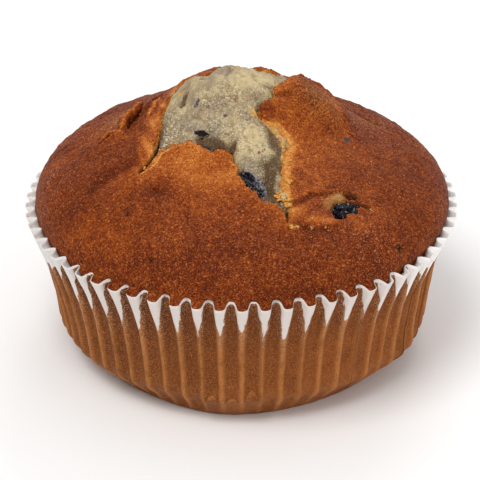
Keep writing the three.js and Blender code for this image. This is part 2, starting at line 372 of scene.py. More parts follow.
def makeOutline():  # the crack's outline as closely spaced points, roughened
    corners = crack["outline"] + crack["outline"][:1]
    x, y = (smoothedRound(part[:-1], 2) for part in spacedPoints(corners, crack["spacing"], 0))
    alongX, alongY = np.roll(x, -2) - np.roll(x, 2), np.roll(y, -2) - np.roll(y, 2)
    scale = np.maximum(np.hypot(alongX, alongY), 1e-6)
    push = sum(amount * smoothNoise(x, y, 0, size, 3) for size, amount in crack["ragged"])
    return np.stack([x + alongY / scale * push, y - alongX / scale * push], -1)


outline = makeOutline()
outlineTree = kdtree.KDTree(len(outline))
for index, point in enumerate(outline):
    outlineTree.insert((point[0], point[1], 0), index)
outlineTree.balance()


def outlineDistance(x, y):
    found = [outlineTree.find((px, py, 0))[2] for px, py in zip(np.ravel(x), np.ravel(y))]
    return np.array(found).reshape(np.shape(x))


def insideCrack(x, y):  # distance from the outline, positive inside it
    crossings = np.zeros(np.shape(x), int)
    for (ax, ay), (bx, by) in zip(outline, np.roll(outline, -1, axis=0)):
        if ay == by:
            continue
        spans = (ay > y) != (by > y)
        crossings += spans & (x < ax + (y - ay) * (bx - ax) / (by - ay))
    return np.where(crossings % 2 == 1, 1, -1) * outlineDistance(x, y)


def raysToOutline(startX, startY, angle):  # how far lines run before they leave the crack
    dirX, dirY = np.cos(angle)[:, None], np.sin(angle)[:, None]
    ax, ay = outline[:, 0][None], outline[:, 1][None]
    bx, by = np.roll(outline, -1, axis=0).T[:, None]
    edgeX, edgeY = bx - ax, by - ay
    fromX, fromY = ax - startX[:, None], ay - startY[:, None]
    across = dirX * edgeY - dirY * edgeX
    across = np.where(np.abs(across) < 1e-12, 1e-12, across)
    reach = (fromX * edgeY - fromY * edgeX) / across
    share = (fromX * dirY - fromY * dirX) / across
    met = (share >= 0) & (share <= 1) & (reach > 0)
    return np.where(met, reach, 1e9).min(1)


def edgeValue(x, y, column):  # one of crackEdge's values, in a point's direction
    rows = np.array(crackEdge)
    direction = np.degrees(np.arctan2(y - crack["y"], x - crack["x"]))
    return np.interp(direction, rows[:, 0], rows[:, column], period=360)


def socketShape(x, y):  # depth of the berries' sockets in the crust
    total = np.zeros(np.shape(x))
    uneven = 1 + socketEdge["uneven"] * layeredNoise(x, y, 0, socketEdge["unevenSize"], 3, 61)
    for atX, atY, halfX, halfY, turn, depth in berrySockets:
        c, s = math.cos(math.radians(turn)), math.sin(math.radians(turn))
        along, across = (x - atX) * c + (y - atY) * s, (y - atY) * c - (x - atX) * s
        edge = smoothStep(np.hypot(along / halfX, across / halfY) * uneven, *socketEdge["fade"])
        total = np.maximum(total, depth * (1 - edge))
    return total


def leftOfCrack(x, y):  # the stretched skin beside the crack's left edge
    return np.exp(-(pathDistance(x, y, crack["leftBand"])[0] / crack["leftWidth"]) ** 2)


def rightOfCrack(x, y):  # the broken golden edge on the crack's right
    width = crack["rightWidth"] * (1 + crack["uneven"] * smoothNoise(x, y, 0, crack["unevenSize"], 49))
    return np.exp(-(pathDistance(x, y, crack["rightBand"])[0] / width) ** 2)


def stretchMarks(x, y, amount):  # streaks in the stretched skin
    turn, stretch, size = crack["marks"]
    return leftOfCrack(x, y) * amount * smoothNoise(x + turn * y, y * stretch, 0, size, 43)


def crustRelief(x, y, z):  # lumps, folds, pores and grain of the browned crust
    grain = crustGrain
    share = np.hypot(x, y) / cake["radius"]
    inside, outskirts = 1 - smoothStep(share, 0.9, 1.0), smoothStep(share, 0.55, 0.85)
    relief = inside * grain["lumps"] * layeredNoise(x, y, z, grain["lumpSize"], 3, 17)
    knobs = grain["knobs"] + grain["outerKnobs"] * outskirts
    relief = relief + knobs * layeredNoise(x, y, z, grain["knobSize"], 2, 31)
    wrinkles = 1 - np.abs(smoothNoise(x, y, z, grain["wrinkleSize"], 33)) / grain["wrinkleWidth"]
    relief = relief + grain["wrinkles"] * outskirts * np.clip(wrinkles, 0, 1)
    for path, width, depth, step in crustFolds:
        distance, side = pathDistance(x, y, path)
        wobble = width * (1 + grain["foldWobble"] * smoothNoise(x, y, z, grain["wobbleSize"], 41))
        relief = relief - depth * np.exp(-(distance / wobble) ** 2)
        fade = np.exp(-distance / (grain["stepWidth"] * width))
        relief = relief + 0.5 * step * fade * np.tanh(side * distance / grain["stepTurn"])
    for atX, atY, size in pinholes:
        away = np.hypot(x - atX, y - atY)
        relief = relief - grain["pinholeDepth"] * np.exp(-(away / size) ** 2)
    relief = relief + stretchMarks(x, y, grain["stretched"])
    fragments = 0.5 - grainDistance(x, y, z, grain["brokenSize"], 47)
    relief = relief + rightOfCrack(x, y) * grain["broken"] * fragments
    pores = grainDistance(x, y, z, grain["poreSize"], 73)
    return relief + grain["pores"] * (smoothStep(pores, 0.15, 0.75) - 0.5)


def foldAt(angle):  # a direction's fold, and how far across it is, 0 at an inward fold's middle
    turned = (angle - math.radians(paper["firstInward"])) / foldPitch
    whole = np.floor(turned + 0.5)
    return whole.astype(np.int64) % paper["folds"], turned - whole


def filledShare(angle):  # how far the crust fills the folds in a direction
    return smoothStep(-np.sin(angle + cake["fillTurn"]), cake["fillFrom"], cake["fillTo"])


def foldRandom(fold, seed):
    return hashed(fold, 0, 0, seed) * 2 - 1


def foldedDepth(z):  # how deep the paper's folds are at a height
    nearRim = 1 - np.clip((rimHeight - z) / paper["foldsClose"], 0, 1)
    depth = paper["baseDepth"] + (paper["rimDepth"] - paper["baseDepth"]) * nearRim ** paper["deepening"]
    foot = paper["footDepth"]
    return depth * (foot + (1 - foot) * min(1, z / paper["footHigh"]))


def paperOuter(z):  # radius outside the folds at a height
    heights, radii = np.array(paper["outside"]).T
    soft = paper["softening"] * min(1, z / 3, (rimHeight - z) / 3)
    return sum(np.interp([z - soft, z, z, z + soft], heights, radii)) / 4


def paperDents(angle, z):
    total = 0 * angle
    for degrees, height, spreadAngle, spreadHeight, push in paper["dents"]:
        turn = (np.degrees(angle) - degrees + 180) % 360 - 180
        total = total + push * np.exp(-(turn / spreadAngle) ** 2 - ((z - height) / spreadHeight) ** 2)
    return total


def longWhite(angle):  # where the white parts reach further down and spread wider
    return np.exp(-((np.degrees(angle) + whiteParts["longMiddle"]) / whiteParts["longSpread"]) ** 2)


def foldDirection(fold, across):
    return math.radians(paper["firstInward"]) + (fold + across) * foldPitch


def outwardFold(fold, across):  # a number that both halves of an outward fold share
    return (fold + (across > 0) - 1) % paper["folds"]


def baseArch(fold, across):  # height of the arched step that a few valleys end in, and where it is
    peak = np.array([paper["archPeaks"].get(number, 0) for number in range(paper["folds"])])[fold]
    foot = paper["archFoot"]
    return np.where(peak > 0, foot + (peak - foot) * (1 - np.abs(across / 0.47) ** 3), 0.8), peak > 0


def foldedPaper(fold, across, z):  # radius, direction and height of the paper's outside
    shape = foldShape
    outer = 0.5 - np.abs(across)  # distance from the outward fold's middle
    nearRim = 1 - np.clip((rimHeight - z) / paper["foldsClose"], 0, 1)
    edge = np.where(across < 0, shape["edgeLeft"], shape["edgeRight"])
    edge = edge * (1 + shape["edgeSpread"] * foldRandom(fold, 305))
    direction = foldDirection(fold, across)
    edge = edge * (1 - shape["narrower"] * longWhite(direction))
    sideways = smoothStep(np.abs(np.cos(direction)), 0.4, 0.9)
    sharpness = shape["sharpness"] - shape["softerSides"] * sideways
    archRise = 1 - np.clip(np.abs(across) / edge, 0, 1) ** sharpness
    valleyRise = 1 - np.exp(-(outer / shape["valley"]) ** 2)
    rise = valleyRise + (archRise - valleyRise) * nearRim ** 0.7
    scallop, _ = baseArch(fold, across)
    rise = rise * smoothStep(z, scallop - 0.2, scallop + 0.25)
    depth = foldedDepth(z) * (1 + shape["depthSpread"] * foldRandom(fold, 301))
    radius = paperOuter(z) - shape["inset"] - depth * rise

    sway = shape["sway"] * math.sin(z * shape["swayTurn"]) * foldRandom(outwardFold(fold, across), 311)
    lean = shape["lean"] * foldRandom(fold, 303) * (1 - 2 * outer) + sway * outer
    angle = math.radians(paper["firstInward"]) + (fold + across + (1 - nearRim) * lean) * foldPitch
    up, down, width = shape["sag"]
    sag = (1 - sideways) * (up - down * np.clip(1 - (outer / width) ** 2, 0, 1))
    lift = (shape["lift"] - shape["lowerSides"] * sideways) * archRise - shape["dip"] + sag
    lift = lift + shape["liftSpread"] * sideways * foldRandom(fold, 325)
    crinkle = smoothNoise(radius * np.cos(angle), radius * np.sin(angle), z * 0.4, shape["crinkleSize"], 321)
    crinkle = shape["crinkle"] * crinkle - shape["crinkleShift"]
    uneven = shape["uneven"] * foldRandom(fold, 309) * np.cos(math.pi * across)
    uneven = uneven * np.exp(-((z - shape["unevenAt"]) / shape["unevenReach"]) ** 2)
    return radius + crinkle + uneven + paperDents(angle, z), angle, z + nearRim ** 3 * lift


# mesh helpers

def pointsOf(mesh):
    flat = np.empty(len(mesh.vertices) * 3)
    mesh.vertices.foreach_get("co", flat)
    return flat.reshape(-1, 3)


def placePoints(mesh, points):
    mesh.vertices.foreach_set("co", (points * mm).ravel())


def addFields(mesh, fields):
    for field, values in fields.items():
        layer = mesh.attributes.new(field, "FLOAT", "POINT")
        layer.data.foreach_set("value", np.asarray(values, np.float32))


def gridMesh(name, points, fields, closed=True):
    # a grid whose columns run round and whose rows run from end to end, each point then placed
    rows, columns = points.shape[0] - 1, points.shape[1] - 1
    bm = bmesh.new()
    bmesh.ops.create_grid(bm, x_segments=columns, y_segments=rows, size=0.5)
    mesh = meshFrom(name, bm)
    flat = pointsOf(mesh)
    column = np.rint((flat[:, 0] + 0.5) * columns).astype(int)
    row = np.rint((flat[:, 1] + 0.5) * rows).astype(int)
    placePoints(mesh, points[row, column])
    addFields(mesh, {field: values[row, column] for field, values in fields.items()})
    if closed:
        bm = bmesh.new()
        bm.from_mesh(mesh)
        bmesh.ops.remove_doubles(bm, verts=bm.verts, dist=2e-7)
        bmesh.ops.recalc_face_normals(bm, faces=bm.faces)
        bm.to_mesh(mesh)
        bm.free()
    return mesh


def finishedPiece(mesh):
    mesh.polygons.foreach_set("use_smooth", [True] * len(mesh.polygons))
    return addObject(mesh.name, mesh)


def handOver(piece, node, material):
    piece.data.materials.append(material)
    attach(piece, "root")
    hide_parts(node)
    print(piece.name, "made,", len(piece.data.polygons), "faces")


# node helpers

def addNode(tree, kind, inputs=None, **settings):
    node = tree.nodes.new(kind)
    for key, value in settings.items():
        setattr(node, key, value)
    for key, value in (inputs or {}).items():
        connect(tree, value, node.inputs[key])
    return node


def connect(tree, value, socket):
    if isinstance(value, bpy.types.NodeSocket):
        tree.links.new(value, socket)
    elif isinstance(value, tuple) and socket.type == "RGBA":
        socket.default_value = (*value, 1)
    else:
        socket.default_value = value


def calculate(tree, operation, a, b=0.0, clamp=False):
    return addNode(tree, "ShaderNodeMath", {0: a, 1: b}, operation=operation, use_clamp=clamp).outputs[0]


def weighted(tree, *terms):  # sum of values, or of attributes by name, times weights
    total = None
    for value, weight in terms:
        value = attribute(tree, value) if isinstance(value, str) else value
        part = calculate(tree, "MULTIPLY", value, weight)
        total = part if total is None else calculate(tree, "ADD", total, part)
    return total


def remap(tree, value, fromLow, fromHigh, toLow=0.0, toHigh=1.0):
    inputs = {"Value": value, "From Min": fromLow, "From Max": fromHigh, "To Min": toLow, "To Max": toHigh}
    return addNode(tree, "ShaderNodeMapRange", inputs, interpolation_type="SMOOTHSTEP").outputs["Result"]


def mixColour(tree, factor, a, b, blend="MIX"):
    node = addNode(tree, "ShaderNodeMix", data_type="RGBA", blend_type=blend)
    for value, socket in ((factor, node.inputs[0]), (a, node.inputs[6]), (b, node.inputs[7])):
        connect(tree, value, socket)
    return node.outputs[2]


def tinted(tree, colour, tint, *terms):  # takes on a tint where the weighted sum is high
    shade, start, full = tint
    return mixColour(tree, remap(tree, weighted(tree, *terms), start, full), colour, shade)


def attribute(tree, name):
    return addNode(tree, "ShaderNodeAttribute", attribute_name=name).outputs["Fac"]


def vectorMath(tree, operation, *values):
    node = addNode(tree, "ShaderNodeVectorMath", dict(enumerate(values)), operation=operation)
    return node.outputs["Vector"]


def ramp(tree, value, stops):
    node = addNode(tree, "ShaderNodeValToRGB", {"Fac": value})
    elements = node.color_ramp.elements
    while len(elements) < len(stops):
        elements.new(0.5)
    for element, (position, colour) in zip(elements, stops):
        element.position = position
        element.color = (*colour, 1)
    return node.outputs["Color"]


def noiseFac(tree, vector, size, detail=3.0, roughness=0.55):  # size of the lumps in millimetres
    scale = size if isinstance(size, bpy.types.NodeSocket) else 1 / (size * mm)
    inputs = {"Vector": vector, "Scale": scale, "Detail": detail, "Roughness": roughness}
    return addNode(tree, "ShaderNodeTexNoise", inputs).outputs["Fac"]


def makeGrainGroup():  # the baked grain of crust and crumb: a tone, a height, spots for painted glints and dark pits
    group = bpy.data.node_groups.new("bakedGrain", "ShaderNodeTree")
    group.interface.new_socket(name="Vector", in_out="INPUT", socket_type="NodeSocketVector")
    group.interface.new_socket(name="Scale", in_out="INPUT", socket_type="NodeSocketFloat")
    for label in ("Tone", "Height", "GlintSpot", "Pit"):
        group.interface.new_socket(name=label, in_out="OUTPUT", socket_type="NodeSocketFloat")
    start = group.nodes.new("NodeGroupInput")
    end = group.nodes.new("NodeGroupOutput")
    vector, scale = start.outputs["Vector"], start.outputs["Scale"]
    fine = noiseFac(group, vector, scale, 2.0, 0.6)
    coarse = noiseFac(group, vector, calculate(group, "MULTIPLY", scale, 0.42), 2.0, 0.6)
    cells = addNode(group, "ShaderNodeTexVoronoi", {"Vector": vector, "Scale": scale, "Randomness": 1.0})
    dome = remap(group, cells.outputs["Distance"], 0.05, 0.75, 1.0, 0.0)
    tone = weighted(group, (fine, 0.5), (coarse, 0.32), (dome, 0.18))
    connect(group, tone, end.inputs["Tone"])
    connect(group, weighted(group, (dome, 0.4), (fine, 0.8), (coarse, 0.4)), end.inputs["Height"])
    connect(group, remap(group, fine, 0.53, 0.68), end.inputs["GlintSpot"])
    aside = vectorMath(group, "ADD", vector, (0.31, 0.17, 0.23))
    hollows = noiseFac(group, aside, calculate(group, "MULTIPLY", scale, 0.8), 2.0, 0.6)
    connect(group, remap(group, hollows, 0.48, 0.33), end.inputs["Pit"])
    return group


grainGroup = makeGrainGroup()


def addGrain(tree, vector, size):
    inputs = {"Vector": vector, "Scale": 1 / (size * mm)}
    return addNode(tree, "ShaderNodeGroup", inputs, node_tree=grainGroup).outputs


def warped(tree, vector, size, amount):  # a place pushed about, so that round grains draw out into worms
    noise = addNode(tree, "ShaderNodeTexNoise", {"Vector": vector, "Scale": 1 / (size * mm), "Detail": 2.0})
    aside = vectorMath(tree, "SUBTRACT", noise.outputs["Color"], (0.5, 0.5, 0.5))
    return vectorMath(tree, "MULTIPLY_ADD", aside, (2 * amount * mm,) * 3, vector)


def newMaterial(name):
    material = bpy.data.materials.new(name)
    material.use_nodes = True
    return material, material.node_tree, addNode(material.node_tree, "ShaderNodeTexCoord").outputs["Object"]


def setSurface(tree, look, colour, shine, height):
    roughness = remap(tree, shine, *look.get("shine", (0.0, 1.0)), *look["roughness"])
    distance, strength = look["bump"]
    inputs = {"Height": height, "Distance": distance * mm, "Strength": strength}
    normal = addNode(tree, "ShaderNodeBump", inputs).outputs["Normal"]
    inputs = {"Base Color": colour, "Roughness": roughness, "Normal": normal, **look["surface"]}
    for key, value in inputs.items():
        connect(tree, value, tree.nodes["Principled BSDF"].inputs[key])


# crust

crustLook = dict(
    stops=[
        (0.0, (0.66, 0.27, 0.065)), (0.25, (0.50, 0.155, 0.026)), (0.5, (0.335, 0.078, 0.010)),
        (0.75, (0.20, 0.034, 0.0038)), (1.0, (0.095, 0.013, 0.002)),
    ],
    # a tint's colour, and the sums at which it starts and is full
    pale=((0.70, 0.36, 0.085), 1.05, 1.55), tanAndSheen=((0.385, 0.182, 0.054), 0.75, 1.25),
    berryStain=((0.05, 0.05, 0.07), 0.85, 1.15),
    # socket: near-black painted shadow in the berries' sockets and along the gap lines
    socket=(0.012, 0.007, 0.005), pit=(0.70, 0.45, 0.28), pitShare=0.65,
    glint=(0.17, 0.067, 0.016), glintShare=0.82, paintedSheenColour=(0.085, 0.066, 0.06),
    grain=0.3, warp=(1.1, 0.7), blotch=(2.2, 3.0), mottle=(0.9, 3.0), toneSwing=0.42, balance=0.425,
    roughness=(0.58, 0.3), bump=(0.2, 0.9), surface={"Specular IOR Level": 0.075},
)

crustMesh = dict(
    columns=930, topRows=82, bottom=0.7, bottomReach=28.5, sideHeights=(2.4, 6.0, 12.0, 19.0, 24.0, 27.2),
    foldShare=1.12, clearOfPaper=0.9, farFromCrack=30,
    rimRows=(  # below the rim, inset where the folds are open, overlap with the paper where filled, rise
        (1.3, 0.25, -0.06, 0.0), (0.5, 0.12, 0.0, 0.0), (0.0, 0.06, 0.02, -0.08), (0.0, 0.02, 0.02, 0.12),
    ),
    lipRows=(  # over the lip and back under the crust: share of the broken band, drop, how broken
        (0.2, 0.1, 0.35), (0.5, 0.35, 0.8), (0.8, 0.8, 1), (1.0, 1.3, 1), (0.8, 2.0, 1), (0.2, 2.8, 1),
    ),
    floorDrop=5.0, floorShares=(0.8, 0.45), floorMiddle=(-1.0, -3.0),
    steepFrom=0.88, outwards=0.4, lessUp=0.7, fluteEdge=(0.25, 0.4), bulge=0.35, bulgeFades=12, crowding=1.5,
    backRough=0.4, backFrom=(3.0, 8.0), lipTeeth=0.9, teethReach=0.9, lipLumps=1.6, lumpsReach=3,
    crumble=((0.14, 0.6, 83), (0.08, 0.28, 85)), narrowFall=0.7, bandFall=0.3, waves=(0.08, 0.45),
)

# patches are given as x, y, reach, amount, and paths as points, width, amount

bakeLevels = dict(
    plain=0.74, front=0.04, lip=-0.22, lipReach=1.3, clouds=0.10, cloudSize=6.0, stretched=0.32, wall=-0.30,
    golden=-0.3, paleWall=0.45, paleGolden=0.3,
)

bakePatches = [  # less bake is more golden
    (-10.5, -12.6, 6.0, -0.44), (-3.0, -16.5, 5.0, -0.20), (-6.0, -22.0, 8.0, -0.16),
    (7.0, -27.0, 6.0, -0.10), (12.5, 1.0, 7.0, -0.22), (14.0, -11.0, 8.0, -0.19), (14.5, -25.2, 2.4, -0.16),
    (10.0, -24.6, 1.8, -0.3), (21.5, -24.8, 2.0, -0.2), (24.6, -20.0, 1.6, -0.18), (3.0, -1.6, 2.0, 0.2),
    (13.2, 3.8, 1.7, 0.22), (-15.7, -18.9, 2.3, 0.30), (8.0, -6.6, 1.9, -0.55), (-19.0, -15.0, 3.0, -0.16),
    (-25.5, -10.8, 2.4, 0.16), (-34.0, -12.0, 7.0, 0.03), (33.0, -6.0, 8.0, 0.05), (-26.0, 3.0, 4.0, -0.1),
    (-22.6, 0.0, 2.4, -0.14), (-9.5, 12.5, 4.0, -0.3), (6.0, 13.5, 2.5, -0.15), (0.0, -35.5, 8.0, 0.07),
    (25.0, -22.0, 9.0, -0.08), (-25.0, -24.0, 9.0, -0.05), (20.0, 6.0, 5.0, 0.04),
]
bakePaths = [
    ([(-12.9, 10.3), (-15.6, 6.5), (-16.9, 2.5), (-17.9, -2.0), (-17.9, -7.5), (-17.6, -10.6)], 1.2, -0.36),
    ([(-23.8, 3.3), (-22.8, 6.8), (-21.4, 9.6), (-20.2, 11.4)], 0.7, -0.45),
    ([(-23.1, 0.4), (-24.3, 1.6), (-26.0, 1.4)], 0.7, -0.2),
    ([(7.9, -20.0), (8.0, -15.0), (7.9, -11.8), (8.8, -8.0)], 1.1, -0.3),
    # a darker line along the crease beside the right berry, painted shade under the fold's step
    ([(9.2, -22.7), (11.6, -20.8), (13.5, -19.0), (15.4, -18.4)], 0.5, 0.3),
    ([(10.0, -23.6), (12.6, -21.6), (14.6, -20.0)], 0.9, -0.15),
    ([(10.0, -20.6), (12.4, -18.6), (15.0, -17.0)], 1.3, -0.16),
    ([(22.0, 16.4), (24.1, 13.8), (26.2, 12.5)], 0.9, 0.3),
    ([(6.6, 2.4), (8.0, 3.4), (9.6, 4.2)], 0.5, 0.25),
    ([(12.2, -26.6), (14.2, -26.0), (16.9, -25.6)], 0.8, -0.36),
    ([(11.6, -28.2), (13.6, -28.6), (16.4, -27.8)], 0.4, 0.25),
    ([(-22.0, 3.6), (-20.7, 6.8), (-19.4, 9.4)], 0.9, 0.1),
    ([(-28.2, -13.6), (-24.4, -11.0), (-21.4, -10.5)], 1.2, 0.2),
    ([(17.8, 8.5), (18.9, 4.6), (20.1, 0.5)], 1.0, -0.15), ([(3.4, -1.4), (5.6, -2.2)], 1.6, 0.12),
]
stainPatches = [
    (20.2, 0.4, 0.9, 0.9), (29.4, -8.0, 0.5, 0.55), (-16.1, -17.7, 0.5, 0.5),
]
gapShadowPaths = [  # thin black lines, painted shadow in gaps, cracks and holes
    ([(-16.8, -9.4), (-17.5, -11.2), (-19.2, -13.5)], 0.32, 1.0),
    ([(-21.3, -22.3), (-21.2, -23.3)], 0.24, 0.9), ([(29.0, -26.2), (29.3, -25.9)], 0.45, 0.9),
    ([(-16.5, -33.7), (-16.4, -33.6)], 0.35, 0.8),
    ([(15.7, -16.6), (16.4, -16.5), (17.2, -16.6)], 0.28, 0.9), ([(8.4, -24.6), (8.3, -27.0)], 0.22, 0.8),
    ([(21.4, -19.4), (22.6, -19.8), (23.5, -20.1)], 0.42, 1.0), ([(19.5, -18.0), (20.9, -17.7)], 0.6, 1.0),
    ([(14.8, -27.6), (15.6, -27.4)], 0.2, 0.6), ([(-20.5, -17.8), (-21.0, -20.0)], 0.22, 0.4),
]
palePaths = [
    ([(-19.0, -14.0), (-17.2, -13.1), (-16.1, -11.6), (-15.2, -9.5), (-13.8, -9.0)], 0.26, 0.6),
]
palePatches = [
    (9.1, -28.2, 0.7, 0.5), (10.2, -28.0, 0.5, 0.35), (12.9, -25.6, 0.4, 0.5), (12.8, -28.0, 0.4, 0.4),
]
# painted sheen: where these patches reach, a light tint is added on the glint spots
paintedSheenPatches = [
    (24.0, -28.0, 7.0, 0.8), (-2.0, -35.0, 8.0, 0.3), (-16.0, -33.0, 6.0, 0.2), (12.0, -34.0, 6.0, 0.3),
    (-35.0, -5.0, 7.0, 0.9), (-23.0, 9.0, 8.0, 0.9), (28.0, 8.0, 8.0, 0.7), (35.0, -10.0, 6.0, 0.4),
]
# the first four paint a grazing sheen on the back and sides as a paler tan; the rest are tan crumb near the
# berry and the dimple
tanAndSheenPatches = [
    (14.0, 5.0, 8.0, 0.45), (-24.0, 9.0, 6.0, 0.46), (26.0, 12.0, 7.0, 0.36), (-31.0, 0.0, 6.0, 0.25),
    (18.0, -18.6, 1.5, 0.85), (16.2, -20.2, 2.0, 0.5), (15.6, -22.4, 1.6, 0.35), (-16.1, -17.7, 0.8, 0.3),
]


def columnDirections(columns):
    # where each column's line starts and its direction, closely spaced where the outline is long
    spine = np.array(crack["spine"], float)
    fine = np.linspace(0, len(spine) - 1, 6001)
    knots = np.arange(len(spine))
    angle, startX, startY = (np.interp(fine, knots, spine[:, part]) for part in range(3))
    angle = np.radians(angle)
    reach = raysToOutline(startX, startY, angle)
    x, y = startX + reach * np.cos(angle), startY + reach * np.sin(angle)
    pace = np.concatenate([[0], np.cumsum(np.minimum(np.hypot(np.diff(x), np.diff(y)), 0.3))])
    turn = np.concatenate([[0], np.cumsum(np.abs(np.diff(angle)))])
    pace = 0.5 * pace / pace[-1] + 0.5 * turn / turn[-1]
    chosen = np.interp(np.linspace(0, 1, columns + 1), pace, fine)
    angle, startX, startY = (np.interp(chosen, knots, spine[:, part]) for part in range(3))
    return np.radians(angle), startX, startY


def circleReach(startX, startY, angle, radius):
    along = startX * np.cos(angle) + startY * np.sin(angle)
    return -along + np.sqrt(along ** 2 - (startX ** 2 + startY ** 2 - radius ** 2))


def towardsMiddle(x, y):  # directions from the crack's lip towards the middle of the crack
    inX = smoothedRound(-(np.roll(y[:-1], -1) - np.roll(y[:-1], 1)), 8)
    inY = smoothedRound(np.roll(x[:-1], -1) - np.roll(x[:-1], 1), 8)
    scale = np.maximum(np.hypot(inX, inY), 1e-9)
    return (np.append(part / scale, part[0] / scale[0]) for part in (inX, inY))


def crustRows():
    angle, startX, startY = columnDirections(crustMesh["columns"])
    cosine, sine = np.cos(angle), np.sin(angle)
    toLip = raysToOutline(startX, startY, angle)
    toRim = circleReach(startX, startY, angle, cake["radius"])
    lipX, lipY = startX + cosine * toLip, startY + sine * toLip
    rimX, rimY = startX + cosine * toRim, startY + sine * toRim
    around = np.arctan2(rimY, rimX)
    far = crustMesh["farFromCrack"]
    rows = []
    zero = np.zeros_like(angle)

    def addRow(x, y, z, away=0, wall=0):
        rows.append([part + zero for part in (x, y, z, away, wall)])

    def addRing(reach, z):
        addRow(reach * np.cos(around), reach * np.sin(around), z, far)

    addRow(0, 0, crustMesh["bottom"], far)
    addRing(crustMesh["bottomReach"], crustMesh["bottom"])
    for z in crustMesh["sideHeights"]:
        addRing(paperOuter(z) - crustMesh["foldShare"] * foldedDepth(z) - crustMesh["clearOfPaper"], z)
    # where it is filled the crust lies against the paper, elsewhere the folds' pockets stay open
    filled = filledShare(around)
    fold, across = foldAt(around)
    touching = smoothedRound(foldedPaper(fold, 0 * across, rimHeight)[0], 12) - paper["wall"]
    for below, inset, overlap, rise in crustMesh["rimRows"]:
        inner, _, lifted = foldedPaper(fold, across, rimHeight - below)
        plain = touching - inset
        reach = plain + filled * (inner - paper["wall"] + overlap - plain)
        addRing(reach, rimHeight - below + rise + filled * (lifted - rimHeight + below))

    lift = edgeValue(lipX, lipY, 1)
    flute = filled * smoothStep(np.abs(across), *crustMesh["fluteEdge"])
    edgeOver = cake["edgeOver"] + (cake["edgeOverFilled"] - cake["edgeOver"]) * filled
    backness = crustMesh["backRough"] * smoothStep(lipY - lipX * 0.3, *crustMesh["backFrom"])
    for step in np.linspace(0, 1, crustMesh["topRows"] + 1):
        share = 1 - step ** crustMesh["crowding"]
        x, y = lipX + (rimX - lipX) * share, lipY + (rimY - lipY) * share
        away = outlineDistance(x, y) if 0.02 < share < 0.98 else (zero if share < 0.5 else zero + far)
        bulge = crustMesh["bulge"] * flute * max(0, 1 - crustMesh["bulgeFades"] * (1 - share))
        x, y = x + bulge * np.cos(around), y + bulge * np.sin(around)
        teeth = smoothNoise(x, y, 0, crustMesh["lipTeeth"], 95)
        lumps = layeredNoise(x, y, 0, crustMesh["lipLumps"], 2, 97)
        rough = np.exp(-away / crustMesh["teethReach"]) * teeth
        rough = rough + np.exp(-away / crustMesh["lumpsReach"]) * lumps
        top = domeHeight(x, y) + lift * np.exp(-away / crack["curlReach"]) + backness * rough
        addRow(x, y, rimHeight + np.maximum(edgeOver, top), away)

    lipTop = rows[-1][2]
    band = edgeValue(lipX, lipY, 2)
    inX, inY = towardsMiddle(lipX, lipY)
    waveHeight, waveSize = crustMesh["waves"]
    for push, drop, wall in crustMesh["lipRows"]:
        x, y, z = lipX + inX * band * push, lipY + inY * band * push, lipTop - drop
        crumble = sum(share * smoothNoise(x, y, z, size, seed) for share, size, seed in crustMesh["crumble"])
        x, y = x + inX * crumble, y + inY * crumble
        fall = drop * (crustMesh["narrowFall"] + crustMesh["bandFall"] * band)
        addRow(x, y, lipTop - (fall + waveHeight * smoothNoise(x, y, 0, waveSize, 87)), wall=wall)
    shares = crustMesh["floorShares"]
    floor = [(startX + (lipX - startX) * share, startY + (lipY - startY) * share) for share in shares]
    for x, y in floor + [crustMesh["floorMiddle"]]:
        addRow(x, y, rimHeight + domeHeight(x, y) - crustMesh["floorDrop"], wall=1)
    return [np.array(part) for part in zip(*rows)]


def makeCrust():
    x, y, z, away, wall = crustRows()
    socket = socketShape(x, y)
    onCrust = smoothStep(z, rimHeight, rimHeight + 1.2) * (1 - 0.5 * wall)
    onCrust[-3:] = 0  # the crack's floor
    relief = crustRelief(x, y, z) * onCrust - socket * (z > rimHeight + 1)
    steep = smoothStep(np.hypot(x, y) / cake["radius"], crustMesh["steepFrom"], 1.0)
    length = np.maximum(np.hypot(x, y), 1e-6)
    outwards = steep * relief * crustMesh["outwards"]
    raised = z + relief * (1 - crustMesh["lessUp"] * steep)
    points = np.stack([x + x / length * outwards, y + y / length * outwards, raised], -1)

    golden = rightOfCrack(x, y)
    level = bakeLevels
    bake = level["plain"] + level["front"] * smoothStep(-y, -4, 30)
    bake = bake + patchSum(x, y, bakePatches) + pathSum(x, y, bakePaths)
    bake = bake + level["lip"] * np.exp(-away / level["lipReach"])
    bake = bake + level["clouds"] * layeredNoise(x, y, z, level["cloudSize"], 3, 91)
    bake = bake + stretchMarks(x, y, level["stretched"]) + level["wall"] * wall + level["golden"] * golden
    pale = patchSum(x, y, palePatches) + pathSum(x, y, palePaths)
    pale = pale + level["paleWall"] * smoothStep(wall, 0.3, 1.0) + level["paleGolden"] * golden
    fields = {
        "bake": np.clip(bake, 0, 1), "pale": np.clip(pale, 0, 1), "tanAndSheen": patchSum(x, y, tanAndSheenPatches),
        "stain": patchSum(x, y, stainPatches), "paintedSheen": patchSum(x, y, paintedSheenPatches),
        # socket: painted shadow in the berries' sockets and along the gap lines
        "socket": np.clip(smoothStep(socket, 0.15, 0.9) + pathSum(x, y, gapShadowPaths), 0, 1),
    }
    return finishedPiece(gridMesh("crust", points, fields))


